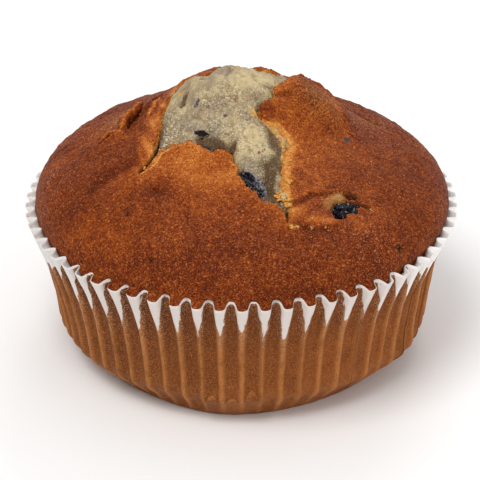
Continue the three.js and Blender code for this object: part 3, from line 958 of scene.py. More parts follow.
def makeCrustMaterial():
    look = crustLook
    material, tree, place = newMaterial("brownedCrust")
    grain = addGrain(tree, warped(tree, place, *look["warp"]), look["grain"])
    tone = grain["Tone"]
    blotch = noiseFac(tree, place, *look["blotch"])
    mottled = noiseFac(tree, place, *look["mottle"])
    swing = look["toneSwing"]
    bake = weighted(tree, ("bake", 1.0), (tone, -swing * 4), (blotch, 0.4), (mottled, 0.45))
    bake = calculate(tree, "ADD", bake, swing * 2 - look["balance"], clamp=True)
    colour = ramp(tree, bake, look["stops"])
    colour = tinted(tree, colour, look["pale"], ("pale", 1.0), (tone, 1.2), (blotch, 0.6))
    # the tan tint is partly a painted sheen on the back and sides
    colour = tinted(tree, colour, look["tanAndSheen"], ("tanAndSheen", 1.0), (tone, 1.0))
    colour = tinted(tree, colour, look["berryStain"], ("stain", 1.0), (tone, 1.0))
    # painted shadow: near-black in the sockets and gaps
    colour = mixColour(tree, attribute(tree, "socket"), colour, look["socket"])
    pits = weighted(tree, (grain["Pit"], look["pitShare"]))
    colour = mixColour(tree, pits, colour, look["pit"], "MULTIPLY")
    # painted glints: a light tint added on the glint spots
    glint = weighted(tree, (grain["GlintSpot"], look["glintShare"]))
    colour = mixColour(tree, glint, colour, look["glint"], "ADD")
    # painted sheen: a light tint added on the glint spots inside the sheen patches
    paintedSheen = calculate(tree, "MULTIPLY", grain["GlintSpot"], attribute(tree, "paintedSheen"), clamp=True)
    colour = mixColour(tree, paintedSheen, colour, look["paintedSheenColour"], "ADD")
    setSurface(tree, look, colour, grain["GlintSpot"], grain["Height"])
    return material


crustPaint = makeCrustMaterial()
handOver(makeCrust(), "muffin", crustPaint)


# torn edges that stand up from the crust

shreds = [  # path with its high side on the left, height, width, teeth, bake
    ([(10.4, 9.7), (12.2, 10.5), (14.4, 11.2), (16.2, 11.1), (17.8, 10.2)], 0.45, 0.8, 0.7, 0.66),
    (
        [(-23.4, 2.0), (-23.2, 4.2), (-22.6, 6.4), (-21.6, 8.4), (-20.6, 10.2), (-19.4, 11.8)],
        1.15, 1.5, 0.3, 0.6,
    ),
    ([(-27.6, -0.6), (-26.0, 1.4), (-24.6, 1.8), (-23.2, 0.8)], 0.45, 0.8, 0.3, 0.66),
    ([(2.4, 15.4), (3.6, 15.1), (5.0, 14.7), (6.4, 14.0)], 0.4, 0.8, 0.9, 0.85),
    ([(-16.0, 12.6), (-17.0, 9.2), (-18.0, 4.6), (-18.8, 0.0)], 0.35, 1.1, 0.25, 0.5),
]

shredProfile = [  # share of the width to the left, share of the height, sinking, bake
    (1.0, 0.0, 0.3, 0.1), (0.55, 0.55, 0, 0.08), (0.25, 0.95, 0, -0.2), (0.08, 1.0, 0, -0.4),
    (-0.08, 0.9, 0, -0.2), (-0.35, 0.5, 0, 0.12), (-0.8, 0.0, 0.4, 0.16), (0.2, 0.0, 1.2, 0.1),
]
shredTeeth = [(1, 0.9, 151), (0.7, 0.35, 153)]  # share, size and seed of coarse and fine teeth
shredForm = dict(spacing=0.12, taper=0.4, wander=0.18, wanderSize=0.8)


def pointsAlong(path, spacing):
    x, y = spacedPoints(path, spacing, 2)
    for _ in range(20):
        x[1:-1], y[1:-1] = (0.5 * p[1:-1] + 0.25 * (p[:-2] + p[2:]) for p in (x, y))
    return x, y


def crustTop(x, y):  # the crust's height without its relief
    curl = edgeValue(x, y, 1) * np.exp(-outlineDistance(x, y) / crack["curlReach"])
    return rimHeight + domeHeight(x, y) + curl


def makeShred(path, height, width, teeth, bake):
    form = shredForm
    x, y = pointsAlong(path, form["spacing"])
    alongX, alongY = np.gradient(x), np.gradient(y)
    scale = np.hypot(alongX, alongY)
    leftX, leftY = -alongY / scale, alongX / scale
    taper = np.sin(np.linspace(0, math.pi, len(x))) ** form["taper"]
    jagged = 1 + teeth * sum(share * smoothNoise(x, y, 0, size, seed) for share, size, seed in shredTeeth)
    tall, ground = height * taper * jagged, crustTop(x, y) + crustRelief(x, y, 0)
    wander = form["wander"] * layeredNoise(x, y, 0, form["wanderSize"], 2, 155)
    rows, tones = [], []
    for side, up, sink, tone in shredProfile + shredProfile[:1]:
        at = side * width * taper + wander
        rows.append(np.stack([x + leftX * at, y + leftY * at, ground + up * tall - sink], -1))
        tones.append(np.full(len(x), bake + tone))
    points = np.stack(rows, 1)
    points[0], points[-1] = points[0].mean(0), points[-1].mean(0)
    return gridMesh("shred", points, {"bake": np.clip(np.stack(tones, 1), 0, 1)})


def makeShreds():
    bm = bmesh.new()
    for shred in shreds:
        bm.from_mesh(makeShred(*shred))
    return finishedPiece(meshFrom("tornEdges", bm))


handOver(makeShreds(), "muffin", crustPaint)


# crumb swelling out of the crack

crumbLook = dict(
    # a tint's colour, and the sums at which it starts and is full
    cream=((0.60, 0.472, 0.252), 0.85, 1.45), grey=((0.32, 0.255, 0.175), 0.55, 1.1),
    orange=((0.42, 0.15, 0.02), 0.65, 1.1), shade=((0.13, 0.072, 0.026), -0.4, 0.45),
    toast=((0.66, 0.36, 0.09), 0.55, 1.15), stain=((0.06, 0.045, 0.07), 0.75, 1.25),
    # pit: near-black painted shadow in crevices and gaps
    red=((0.2, 0.03, 0.012), 0.75, 1.0), pit=((0.022, 0.013, 0.007), 0.75, 1.1),
    olive=(0.325, 0.242, 0.143), glint=(0.86, 0.80, 0.64), hollow=(0.62, 0.52, 0.36),
    grain=0.34, broad=(3.6, 4.0, 0.6), patchy=(2.2, 3.0), ragged=(0.7, 4.0),
    roughness=(0.5, 0.22), bump=(0.28, 1.0),
    surface={
        "Specular IOR Level": 0.3, "Subsurface Weight": 0.1, "Subsurface Radius": (1.0, 0.7, 0.4),
        "Subsurface Scale": 0.6 * mm,
    },
)

crumbMesh = dict(
    spacing=0.17, margin=2.2, rise=0.6, skirt=1.7, thickness=1.5, edgeDrop=3.2, lumps=0.5, lumpSize=3.0,
    knobs=0.22, knobSize=1.9, grains=0.34, grainSize=1.05, fineGrains=0.18, fineSize=0.55,
    pores=0.6, poreSize=1.3, poreEdge=(0.5, 0.95), dust=0.09, dustSize=0.36, edgeWidth=1.6,
    creviceDepth=0.4, creviceWidth=0.45, widerByDepth=0.22, grooveUneven=0.4, grooveUnevenSize=0.9,
)

crumbSwellings = [  # rise, x, y, reach, steepness
    (1.0, 1.5, -10.0, 4.6, 2), (0.5, -11.5, 1.5, 3.0, 2), (0.5, -2.0, 0.5, 5.0, 2),
    (0.5, -6.5, 4.6, 3.4, 2), (0.5, 3.5, 6.0, 3.0, 2), (-1.4, 3.0, -18.6, 3.6, 3),
    (-0.9, 5.6, -15.5, 2.4, 2), (-0.8, -5.4, -9.2, 1.5, 2), (0.4, -13.5, -4.5, 2.5, 2),
    (-0.5, -6.0, -1.6, 1.4, 2), (0.35, -9.6, 7.8, 2.6, 3), (0.4, -0.5, 7.0, 2.6, 3),
    (0.5, -4.6, 3.0, 2.0, 3), (0.45, 2.6, 1.0, 2.0, 3), (0.4, -9.0, -3.6, 1.8, 3),
]

crumbGrooves = [  # points, width, depth
    ([(-10.7, 4.0), (-11.4, 0.6)], 0.6, 0.9), ([(-4.2, 4.4), (-2.6, 7.0), (-2.0, 10.6)], 0.7, 0.5),
    ([(-7.6, 5.0), (-5.0, 5.2), (-2.8, 3.4), (-2.6, 0.4)], 0.6, 0.35),
    ([(1.4, 7.4), (3.2, 4.4), (5.4, 3.6)], 0.6, 0.4),
    ([(-7.3, -1.3), (-8.6, -3.2), (-6.5, -5.4)], 0.5, 0.4),
    ([(3.8, -2.3), (6.0, -5.6), (5.6, -9.1)], 0.9, 0.6),
    ([(7.0, -9.6), (6.8, -11.8), (5.4, -13.8), (4.6, -17.3), (5.4, -20.3)], 0.8, 0.8),
    ([(-7.6, -7.9), (-6.4, -8.3), (-5.5, -8.9), (-3.8, -10.1), (-2.2, -10.4)], 0.85, 1.7),
    ([(-12.8, 5.2), (-10.4, 5.6)], 0.5, 0.4), ([(-1.0, -2.0), (1.5, -4.0), (3.0, -3.2)], 0.5, 0.35),
    ([(0.6, -13.4), (3.0, -14.2), (4.8, -13.4)], 0.6, 0.5),
]

crumbStains = [
    (-8.5, -0.4, 0.55, 1.0), (-8.9, -1.2, 0.45, 0.9), (-3.2, -4.6, 0.55, 0.95), (-12.3, 7.6, 0.7, 0.9),
    (-11.4, 8.2, 0.6, 0.9), (-13.0, 6.8, 0.5, 0.7), (-6.5, -1.8, 0.35, 0.9), (4.2, -11.0, 0.3, 0.9),
    (3.8, -11.6, 0.3, 0.9), (-5.0, -9.7, 1.3, 0.95), (-7.2, -8.4, 0.9, 0.8), (-3.0, -10.6, 0.8, 0.7),
    (2.6, -18.4, 1.8, 0.75), (4.2, -21.4, 1.4, 0.7), (-0.4, -15.4, 1.0, 0.9), (-10.4, -3.2, 1.6, 0.28),
    (-3.4, 7.2, 1.5, 0.3), (-9.6, -6.6, 1.6, 0.35), (6.0, -12.4, 0.7, 0.5),
]
crumbOrange = [
    (-1.4, -1.7, 0.4, 0.9), (0.9, -1.5, 0.35, 1.0), (-10.6, 4.2, 0.35, 0.7), (-3.0, -4.4, 0.35, 0.8),
    (7.4, -7.4, 1.6, 1.0), (7.2, -10.6, 1.0, 0.7), (7.0, -13.6, 0.9, 0.6), (3.0, -4.2, 0.8, 0.6),
    (7.2, -16.5, 0.9, 0.6),
]
crumbRed = [
    (3.2, -12.0, 0.42, 1.0),
]
crumbShades = [
    ([(6.6, -12.6), (5.4, -14.2), (4.8, -17.3), (5.2, -20.3), (5.9, -22.4)], 1.3, 1.1),
    ([(7.0, -8.8), (6.8, -11.6)], 0.5, 0.5), ([(4.2, 3.2), (5.2, 5.0)], 1.0, 0.45),
    ([(3.8, -4.0), (5.4, -5.8), (6.2, -8.0)], 1.1, 0.65),
    ([(-15.2, -3.0), (-15.8, -7.0), (-16.4, -11.0)], 0.8, 0.6), ([(-11.0, 3.6), (-11.3, 0.1)], 0.5, 0.5),
    ([(-7.6, -7.8), (-5.5, -8.7), (-3.6, -9.8), (-2.2, -10.2)], 1.05, 1.3),
    ([(-14.4, 4.0), (-14.8, -1.0), (-13.0, -4.0)], 2.2, 0.3),
]
crumbToast = [
    ([(7.9, -12.0), (8.2, -9.0), (7.9, -6.8), (6.4, -4.6), (4.2, -3.8), (2.2, -3.1)], 0.75, 0.95),
    ([(8.6, -22.0), (8.0, -18.0), (7.8, -14.0)], 0.7, 0.7),
    ([(-14.6, 2.0), (-13.6, 5.2), (-11.6, 5.0)], 0.7, 0.5),
]
# painted shadow along the crumb's crevices and gaps
crumbCreviceShadows = [
    ([(-15.7, -1.5), (-16.0, -4.0), (-16.3, -7.3), (-16.5, -9.4), (-17.2, -11.2), (-18.7, -12.9)], 0.42, 1.0),
    ([(-8.0, -8.5), (-6.6, -8.5), (-5.6, -9.1), (-3.8, -10.2), (-2.4, -10.2)], 0.6, 0.95),
    ([(6.3, 2.0), (6.2, 3.6), (6.2, 4.8)], 0.4, 0.7), ([(8.3, -24.0), (8.2, -27.4)], 0.35, 1.0),
]
creamPatches = [
    (1.2, -9.5, 4.2, 1.0), (3.0, 6.0, 4.5, 0.95), (-1.5, 2.5, 3.5, 0.6), (-12.2, 3.5, 2.0, 0.3),
]
greyPatches = [
    (-7.0, 4.2, 3.4, 0.5), (-5.0, -6.5, 3.0, 0.7), (-10.0, -5.0, 2.6, 0.6), (-3.5, 8.8, 2.6, 0.6),
    (1.5, -16.0, 2.6, 0.9),
]


crumbTones = dict(
    edgeShade=0.8, edgeFade=(-0.6, 0.2), grooveShade=0.75, toastUneven=0.5, toastSize=1.3,
    coarse=0.62, smoother=0.42, smoothBehind=(-1, 5), coarser=0.3, coarseLeft=(11.5, 14.5),
    patches=0.3, patchSize=2.6,
)


def crumbHeight(x, y, inside):  # over the rim plane, and how far the nearest grain's middle is
    sizes = crumbMesh
    z = domeHeight(x, y) + sizes["rise"] + sum(swelling(x, y, *each) for each in crumbSwellings)
    crevice = edgeValue(x, y, 3) + sizes["creviceDepth"]
    reach = sizes["creviceWidth"] + sizes["widerByDepth"] * crevice
    z = z - crevice * np.exp(-(np.maximum(inside, 0) / reach) ** 2)
    lumps = sizes["lumps"] * layeredNoise(x, y, z, sizes["lumpSize"], 2, 101)
    z = z - sizes["edgeDrop"] * smoothStep(-inside, 0.0, sizes["edgeWidth"]) + lumps
    for line, width, depth in crumbGrooves:
        uneven = sizes["grooveUneven"] * smoothNoise(x, y, z, sizes["grooveUnevenSize"], 103)
        wobble = width * (1 + uneven)
        z = z - depth * np.exp(-(pathDistance(x, y, line)[0] / wobble) ** 2)
    grains = grainDistance(x, y, z, sizes["grainSize"], 105)
    fine = grainDistance(x, y, z, sizes["fineSize"], 109)
    z = z + sizes["knobs"] * layeredNoise(x, y, z, sizes["knobSize"], 2, 121)
    z = z + sizes["grains"] * (0.5 - grains) + sizes["fineGrains"] * (0.5 - fine)
    pores = smoothStep(smoothNoise(x, y, z, sizes["poreSize"], 113), *sizes["poreEdge"])
    return z + sizes["dust"] * smoothNoise(x, y, z, sizes["dustSize"], 111) - sizes["pores"] * pores, grains


def makeCrumb():
    spacing, margin = crumbMesh["spacing"], crumbMesh["margin"]
    low, high = outline.min(0) - margin, outline.max(0) + margin
    counts = [int(round(side / spacing)) + 1 for side in high - low]
    x, y = np.meshgrid(*(np.linspace(*ends) for ends in zip(low, high, counts)))
    inside = insideCrack(x, y)
    z, grains = crumbHeight(x, y, inside)
    tones = crumbTones
    shade = pathSum(x, y, crumbShades) + tones["edgeShade"] * smoothStep(-inside, *tones["edgeFade"])
    shade = shade + tones["grooveShade"] * pathSum(x, y, crumbGrooves)
    uneven = 1 + tones["toastUneven"] * layeredNoise(x, y, z, tones["toastSize"], 2, 117)
    toast = pathSum(x, y, crumbToast) * uneven
    coarse = tones["coarse"] - tones["smoother"] * smoothStep(y - 0.15 * x, *tones["smoothBehind"])
    coarse = coarse + tones["coarser"] * smoothStep(-x, *tones["coarseLeft"])
    coarse = coarse + tones["patches"] * layeredNoise(x, y, z, tones["patchSize"], 2, 119)
    fields = {
        "stain": patchSum(x, y, crumbStains), "orange": patchSum(x, y, crumbOrange),
        "red": patchSum(x, y, crumbRed), "cream": patchSum(x, y, creamPatches),
        "grey": patchSum(x, y, greyPatches), "shade": np.clip(shade, 0, 1), "toast": np.clip(toast, 0, 1),
        "grainGapShade": np.clip(grains, 0, 1), "pit": np.clip(pathSum(x, y, crumbCreviceShadows), 0, 1),
        "coarse": np.clip(coarse, 0.1, 1),
    }
    mesh = gridMesh("crumb", np.stack([x, y, rimHeight + z], -1), fields, closed=False)
    closeUnderside(mesh)
    return finishedPiece(mesh)


def closeUnderside(mesh):  # cuts the sheet off outside the crack and gives it a bottom
    bm = bmesh.new()
    bm.from_mesh(mesh)
    bm.verts.ensure_lookup_table()
    places = pointsOf(mesh) / mm
    outside = insideCrack(places[:, 0], places[:, 1]) < -crumbMesh["skirt"]
    bmesh.ops.delete(bm, geom=[bm.verts[i] for i in np.nonzero(outside)[0]], context="VERTS")
    drawn = bmesh.ops.extrude_edge_only(bm, edges=[edge for edge in bm.edges if edge.is_boundary])["geom"]
    ring = [vert for vert in drawn if isinstance(vert, bmesh.types.BMVert)]
    bmesh.ops.translate(bm, verts=ring, vec=(0, 0, -crumbMesh["thickness"] * mm))
    bmesh.ops.holes_fill(bm, edges=[edge for edge in bm.edges if edge.is_boundary])
    bmesh.ops.recalc_face_normals(bm, faces=bm.faces)
    bm.to_mesh(mesh)
    bm.free()


def makeCrumbMaterial():
    look = crumbLook
    material, tree, place = newMaterial("paleCrumb")
    grain = addGrain(tree, place, look["grain"])
    tone = grain["Tone"]
    broad, patchy, ragged = (noiseFac(tree, place, *look[name]) for name in ("broad", "patchy", "ragged"))
    colour = tinted(tree, look["olive"], look["cream"], ("cream", 0.5), (broad, 1.5), (tone, 0.6))
    colour = tinted(tree, colour, look["grey"], ("grey", 0.6), (patchy, 1.0))
    colour = tinted(tree, colour, look["orange"], ("orange", 1.0), (tone, 0.8))
    colour = tinted(tree, colour, look["shade"], ("shade", 0.9), (tone, -0.9))
    colour = tinted(tree, colour, look["toast"], ("toast", 1.0), (ragged, 0.8))
    colour = tinted(tree, colour, look["stain"], ("stain", 1.0), (ragged, 0.9))
    colour = tinted(tree, colour, look["red"], ("red", 1.0), (tone, 0.6))
    coarse = attribute(tree, "coarse")  # smooth at the top, granular at the left and below
    # painted shade in the gaps between the crumb's grains
    grainGapShade = remap(tree, weighted(tree, ("grainGapShade", 0.75), (tone, -0.8)), -0.12, 0.32, 0.0, 0.75)
    colour = mixColour(tree, weighted(tree, (grainGapShade, coarse)), colour, look["shade"][0])
    colour = mixColour(tree, weighted(tree, (grain["Pit"], coarse)), colour, look["hollow"], "MULTIPLY")
    lit = remap(tree, attribute(tree, "shade"), 0.2, 1.0, 1.0, 0.35)
    glint = calculate(tree, "MULTIPLY", weighted(tree, (coarse, 0.75)), grain["GlintSpot"])
    colour = mixColour(tree, weighted(tree, (glint, lit)), colour, look["glint"])
    # near-black painted shadow along the crevice lines
    colour = tinted(tree, colour, look["pit"], ("pit", 1.0), (ragged, 0.7))
    setSurface(tree, look, colour, grain["GlintSpot"], grain["Height"])
    return material


crumbPaint = makeCrumbMaterial()
handOver(makeCrumb(), "muffin", crumbPaint)


# loose crumbs and broken lumps

looseCrumbs = [  # x, y, spread, count, size, height over the crust, whether pale crumb or golden crust
    (7.4, -21.9, 0.95, 30, 0.36, 0.15, False), (8.3, -23.6, 0.5, 9, 0.3, 0.1, False),
    (7.5, -21.6, 0.7, 10, 0.26, 0.4, True), (12.8, -27.9, 0.4, 4, 0.17, 0.0, False),
    (15.6, -27.3, 0.6, 5, 0.14, 0.0, False), (12.9, -28.0, 0.3, 2, 0.13, 0.0, True),
    (18.2, -18.4, 0.8, 4, 0.12, 0.1, True), (23.9, -20.6, 0.3, 2, 0.13, 0.0, True),
    (8.4, -7.2, 1.0, 14, 0.3, -0.2, False), (8.3, -12.0, 0.8, 10, 0.28, -0.1, False),
    (8.4, -17.0, 0.8, 14, 0.28, -0.1, False), (-13.6, 7.4, 0.5, 5, 0.2, 0.1, True),
    (-18.3, -13.0, 0.6, 5, 0.14, 0.0, False),
]


looseShape = dict(
    scatter=0.55, furthest=1.2, sizes=(0.55, 1.3), stretch=(0.7, 1.3), flatter=0.75,
    lumps=0.5, lumpSize=0.8, tones=(0.15, 0.5),
)


def makeLooseCrumbs(name, pale, seed):
    form = looseShape
    random = np.random.default_rng(seed)
    bm = bmesh.new()
    middles, sizes = [], []
    for x, y, spread, count, size, over, isPale in looseCrumbs:
        if isPale != pale:
            continue
        steps = random.normal(0, form["scatter"], (count, 2))
        places = np.array([x, y]) + spread * np.clip(steps, -form["furthest"], form["furthest"])
        heights = crustTop(places[:, 0], places[:, 1]) + over
        for place, height in zip(places, heights):
            bmesh.ops.create_icosphere(bm, subdivisions=3, radius=1.0)
            middles.append((*place, height))
            sizes.append(size * random.uniform(*form["sizes"]))
    mesh = meshFrom(name, bm)
    unit = pointsOf(mesh).reshape(len(sizes), -1, 3)
    stretch = random.uniform(*form["stretch"], (len(sizes), 1, 3)) * np.array([1, 1, form["flatter"]])
    shift = random.uniform(0, 40, (len(sizes), 1, 3))
    x, y, z = np.moveaxis(unit * 0.8 + shift, -1, 0)
    lumps = 1 + form["lumps"] * layeredNoise(x, y, z, form["lumpSize"], 4, seed, 0.6)
    reach = stretch * lumps[..., None] * np.array(sizes)[:, None, None]
    placePoints(mesh, unit * reach + np.array(middles)[:, None])
    tone = np.repeat(random.uniform(*form["tones"], len(sizes)), unit.shape[1])
    if pale:
        addFields(mesh, {"cream": tone + 0.6, "toast": tone, "coarse": np.full_like(tone, 0.5)})
    else:
        addFields(mesh, {"bake": tone, "pale": 0.3 + tone})
    return finishedPiece(mesh)


handOver(makeLooseCrumbs("paleCrumbs", True, 401), "muffin", crumbPaint)
handOver(makeLooseCrumbs("goldenCrumbs", False, 402), "muffin", crustPaint)


# berries

berryLook = dict(
    skin=(0.004, 0.004, 0.008), purple=(0.024, 0.013, 0.022), bloom=(0.40, 0.40, 0.42), paintedHighlight=(0.5, 0.5, 0.53),
    mottle=(1.0, 4.0), frost=(0.8, 5.0, 0.7), highlightStreaks=(0.5, 2.0, 0.5), dimples=(0.8, 4.0, 0.6),
    shine=(0.3, 0.7), roughness=(0.08, 0.35), bump=(0.7, 1.0), surface={"Specular IOR Level": 0.14},
)

berrySkin = dict(  # sizes in half sizes of the berry
    folds=0.16, foldSize=0.55, foldShape=(1, 1.6, 1),
    creases=0.24, creaseSize=0.5, creaseShape=(0.7, 1.8, 1), creaseWidth=0.13,
    frost=0.5, frostSize=0.6, frostBack=0.8, frostRight=0.4, frostStart=0.4, frostFull=0.5,
)

berries = {
    "berry_crack": dict(
        x=0.9, y=-16.3, sink=2.55, half=(4.4, 2.4, 3.0), turn=-47,
        wrinkle=1.0, bloom=1.1, frostAt=0.15, paintedHighlight=0.6,
    ),
    "berry_right": dict(
        x=19.0, y=-21.0, sink=2.0, half=(2.9, 3.0, 2.1), turn=20,
        wrinkle=1.0, bloom=0.1, frostAt=0.8, paintedHighlight=1.0,
    ),
    "berry_upper": dict(
        x=-7.8, y=-6.0, sink=0.8, half=(1.8, 1.1, 1.3), turn=-20,
        wrinkle=0.9, bloom=0.15, frostAt=0.5, paintedHighlight=0.12,
    ),
}


def makeBerry(name, shape, seed):
    skin = berrySkin
    bm = bmesh.new()
    bmesh.ops.create_icosphere(bm, subdivisions=6, radius=1.0)
    mesh = meshFrom(name, bm)
    unit = pointsOf(mesh)
    x, y, z = unit.T
    folds = layeredNoise(*(unit * skin["foldShape"]).T, skin["foldSize"], 3, seed)
    creases = smoothNoise(*(unit * skin["creaseShape"]).T, skin["creaseSize"], seed + 50)
    creases = -np.exp(-(np.abs(creases) / skin["creaseWidth"]) ** 2)
    wrinkles = 1 + shape["wrinkle"] * (skin["folds"] * folds + skin["creases"] * creases)
    along, across, up = (unit * np.array(shape["half"]) * wrinkles[:, None]).T
    c, s = math.cos(math.radians(shape["turn"])), math.sin(math.radians(shape["turn"]))
    height = rimHeight + domeHeight(shape["x"], shape["y"]) - shape["sink"]
    turned = np.stack([along * c - across * s, along * s + across * c, up], -1)
    placePoints(mesh, turned + np.array([shape["x"], shape["y"], height]))
    frost = skin["frost"] * layeredNoise(x, y, z, skin["frostSize"], 3, seed + 9)
    frost = frost + skin["frostBack"] * y + skin["frostRight"] * x
    frost = smoothStep(frost, shape["frostAt"] - skin["frostStart"], shape["frostAt"] + skin["frostFull"])
    addFields(mesh, {"bloom": shape["bloom"] * frost, "paintedHighlight": np.full_like(frost, shape["paintedHighlight"])})
    return finishedPiece(mesh)


def makeBerryMaterial():
    look = berryLook
    material, tree, place = newMaterial("bakedBerry")
    names = ("mottle", "frost", "highlightStreaks", "dimples")
    mottled, frost, highlightStreaks, dimples = (noiseFac(tree, place, *look[name]) for name in names)
    colour = mixColour(tree, remap(tree, mottled, 0.5, 0.8), look["skin"], look["purple"])
    frost = remap(tree, frost, 0.42, 0.62)
    colour = mixColour(tree, weighted(tree, ("bloom", frost)), colour, look["bloom"])
    # painted highlights: light grey streaks on the dark skin
    highlightStreaks = remap(tree, highlightStreaks, 0.6, 0.7, 0.0, 0.75)
    colour = mixColour(tree, weighted(tree, ("paintedHighlight", highlightStreaks)), colour, look["paintedHighlight"])
    setSurface(tree, look, colour, mottled, dimples)
    return material


berryPaint = makeBerryMaterial()
for number, (name, shape) in enumerate(berries.items()):
    handOver(makeBerry(name + "_skin", shape, 201 + number * 13), name, berryPaint)


# paper case

paperLook = dict(
    white=(0.74, 0.67, 0.625), whiteShadedLeft=(0.79, 0.765, 0.745), whiteLitRight=(0.96, 0.945, 0.925),
    lining=(0.88, 0.86, 0.84), fibres=(0.55, 0.45, 0.4), ridgeAndHighlight=(0.54, 0.21, 0.058),
    soaked=(0.268, 0.072, 0.0132), pale=(0.33, 0.108, 0.029), dark=(0.125, 0.028, 0.0055),
    fleck=(0.62, 0.42, 0.27), darkHeights=(15.5, 21.0), paleHeights=(12.0, 6.0), halfWidth=38,
    leftTone=0.62, rightTone=1.0, streaks=(0.9, 4.0), mottle=(2.6, 5.0, 0.6), fibre=(0.22, 3.0),
    shadeBlotches=(8.0, 3.0), roughness=(0.5, 0.7), bump=(0.07, 0.7), surface={"Specular IOR Level": 0.09},
)


def dryPaper(fold, across, angle, below, inset):  # how far a place is inside the dry white part, in mm
    white = whiteParts
    outward = outwardFold(fold, across)
    sideways, longer = smoothStep(np.abs(np.cos(angle)), 0.55, 0.95), longWhite(angle)
    tip = white["tip"] + white["longer"] * longer - white["shorterSides"] * sideways
    tip = tip + white["tipSpread"] * foldRandom(outward, 311)
    half = white["half"] + white["widerSides"] * sideways + white["widerLong"] * longer
    half = half * np.clip(1 - below / tip, 0, 1) ** 0.8 - white["closing"] * np.clip(below / tip - 1, 0, 4)
    skew = white["skew"] * foldRandom(outward, 313) * np.where(across > 0, 1, -1) * np.clip(below / tip, 0, 1)
    dry = (half - (0.5 - np.abs(across) + skew)) * foldPitch * rimRadius
    allWhite = smoothStep(np.abs(np.cos(angle)), 0.80, 0.90)
    cap = white["rim"] + white["rimSpread"] * foldRandom(fold, 315)
    cap = cap + (white["sides"] + white["sideSpread"] * foldRandom(fold, 317)) * allWhite - below
    return np.maximum(dry, cap + (white["lining"] if inset else 0)), sideways


def paperRow(fold, across, z, inset):  # places, dryness, lighter ridge with its painted highlight, lining and side of one row
    radius, angle, lifted = foldedPaper(fold, across, z)
    # inside, the outward folds are pressed together a little below the rim
    pinch = smoothStep(rimHeight - z, *paper["pressedFrom"]) * (1 - filledShare(angle)) * bool(inset)
    pressed = paperOuter(z) - paper["pressedDepth"] * foldedDepth(z) + paperDents(angle, z)
    pressed = np.minimum(radius, pressed)
    radius = radius + pinch * (pressed - radius) - inset
    dry, sideways = dryPaper(fold, across, angle, rimHeight - z, inset)
    scallop, arched = baseArch(fold, across)
    # lighter paper on the folds' crests and on the arched steps, partly a painted highlight
    ridgeAndHighlight = np.exp(-((0.5 - np.abs(across)) / paper["ridgeWidth"]) ** 2) * min(1, 0.35 + z / 6)
    step = np.exp(-((z - scallop) / paper["stepWidth"]) ** 2) * arched * (np.abs(across) < 0.43)
    ridgeAndHighlight = np.maximum(ridgeAndHighlight, paper["stepRidge"] * step)
    lining = np.full_like(angle, bool(inset))
    return radius * np.cos(angle), radius * np.sin(angle), lifted, dry, ridgeAndHighlight, lining, sideways


def makePaper():
    folds, perFold, wall = paper["folds"], paper["perFold"], paper["wall"]
    column = np.arange(folds * perFold + 1)
    fold = column // perFold % folds
    across = (column % perFold) / perFold - 0.5
    close = rimHeight - paper["foldsClose"]
    start, count = paper["middleRows"]
    heights = [
        *paper["footRows"], *np.linspace(*paper["lowRows"]), *np.linspace(start, close, count),
        *np.linspace(close, rimHeight, paper["rimRows"])[1:],
    ]
    linings = [*(rimHeight - below for below in paper["liningBelowRim"]), close, *paper["liningRows"]]
    zero = np.zeros(len(column))
    rows = [(zero, zero, zero, zero - 3, zero, zero, zero)]
    rows += [paperRow(fold, across, z, 0.0) for z in heights]
    for z in linings:
        thick = wall + paper["thickerBelow"] * (1 - smoothStep(z, *paper["thinOver"]))
        rows.append(paperRow(fold, across, z, thick))
    rows.append((zero, zero, zero + wall + paper["floorThickness"], zero - 3, zero, zero, zero))
    parts = [np.array(part) for part in zip(*rows)]
    for part in parts:
        part[:, -1] = part[:, 0]
    x, y, z, dry, ridgeAndHighlight, lining, side = parts
    z[-2] = z[-2] + wall
    fields = {"dry": dry, "ridgeAndHighlight": ridgeAndHighlight, "lining": lining, "side": side}
    return finishedPiece(gridMesh("paperFolds", np.stack([x, y, z], -1), fields))


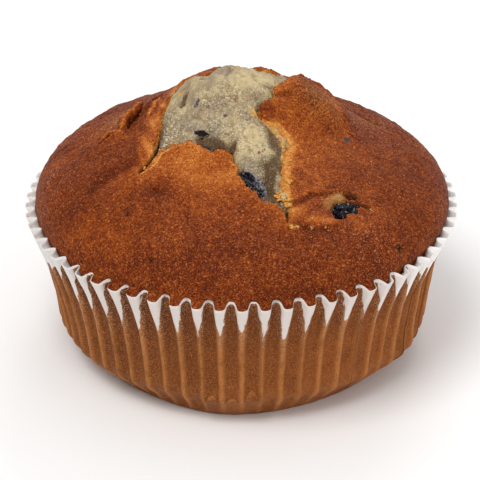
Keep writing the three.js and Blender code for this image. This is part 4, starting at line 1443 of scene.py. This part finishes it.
def makePaperMaterial():
    look = paperLook
    material, tree, place = newMaterial("bakingPaper")
    stretched = addNode(tree, "ShaderNodeMapping", {"Vector": place, "Scale": (1, 1, 0.3)}).outputs["Vector"]
    streaks = noiseFac(tree, stretched, *look["streaks"])
    mottled, fibre, blotch = (noiseFac(tree, place, *look[name]) for name in ("mottle", "fibre", "shadeBlotches"))
    acrossX, _, height = addNode(tree, "ShaderNodeSeparateXYZ", {"Vector": place}).outputs
    toRight = remap(tree, acrossX, -look["halfWidth"] * mm, look["halfWidth"] * mm)
    colour = look["soaked"]
    for tint, levels, most in (("dark", "darkHeights", 0.45), ("pale", "paleHeights", 0.8)):
        start, full = (level * mm for level in look[levels])
        colour = mixColour(tree, remap(tree, height, start, full, 0.0, most), colour, look[tint])
    sideTone = remap(tree, toRight, 0.0, 1.0, look["leftTone"], look["rightTone"])
    colour = mixColour(tree, sideTone, (0, 0, 0), colour)
    # dark blotches of painted shade, strongest on the left
    blotch = remap(tree, blotch, 0.46, 0.68, 0.0, 0.6)
    blotch = calculate(tree, "MULTIPLY", blotch, remap(tree, toRight, 0.0, 1.0, 1.0, 0.25))
    colour = mixColour(tree, blotch, colour, look["dark"])
    # the ridge colour is partly a painted highlight on the crests
    ridgeAndHighlight = weighted(tree, ("ridgeAndHighlight", remap(tree, mottled, 0.3, 0.7, 0.4, 1.0)))
    colour = mixColour(tree, remap(tree, ridgeAndHighlight, 0.0, 1.0), colour, look["ridgeAndHighlight"])
    tone = weighted(tree, (mottled, 0.9), (fibre, 0.8), (streaks, 0.3))
    colour = mixColour(tree, remap(tree, tone, 0.92, 1.25, 0.0, 0.75), colour, look["dark"])
    colour = mixColour(tree, remap(tree, fibre, 0.5, 0.62, 0.0, 0.5), colour, look["ridgeAndHighlight"])
    colour = mixColour(tree, remap(tree, fibre, 0.48, 0.36, 0.0, 0.6), colour, look["dark"])
    dry = weighted(tree, ("dry", 1.0), (calculate(tree, "SUBTRACT", streaks, 0.5), 1.1))
    flecks = remap(tree, fibre, 0.48, 0.66, 0.0, 0.6)
    flecks = calculate(tree, "MULTIPLY", remap(tree, dry, -1.4, -0.1), flecks)
    colour = mixColour(tree, flecks, colour, look["fleck"])
    # the white is painted darker on the left and lighter on the right, as painted shade and light
    white = mixColour(tree, toRight, look["whiteShadedLeft"], look["whiteLitRight"])
    white = mixColour(tree, attribute(tree, "side"), look["white"], white)
    white = mixColour(tree, attribute(tree, "lining"), white, look["lining"])
    white = mixColour(tree, remap(tree, fibre, 0.35, 0.7, 0.0, 0.1), white, look["fibres"])
    mask = remap(tree, dry, -0.08, 0.1)
    colour = mixColour(tree, mask, colour, white)
    setSurface(tree, look, colour, mask, calculate(tree, "ADD", fibre, streaks))
    return material


handOver(makePaper(), "paper_case", makePaperMaterial())
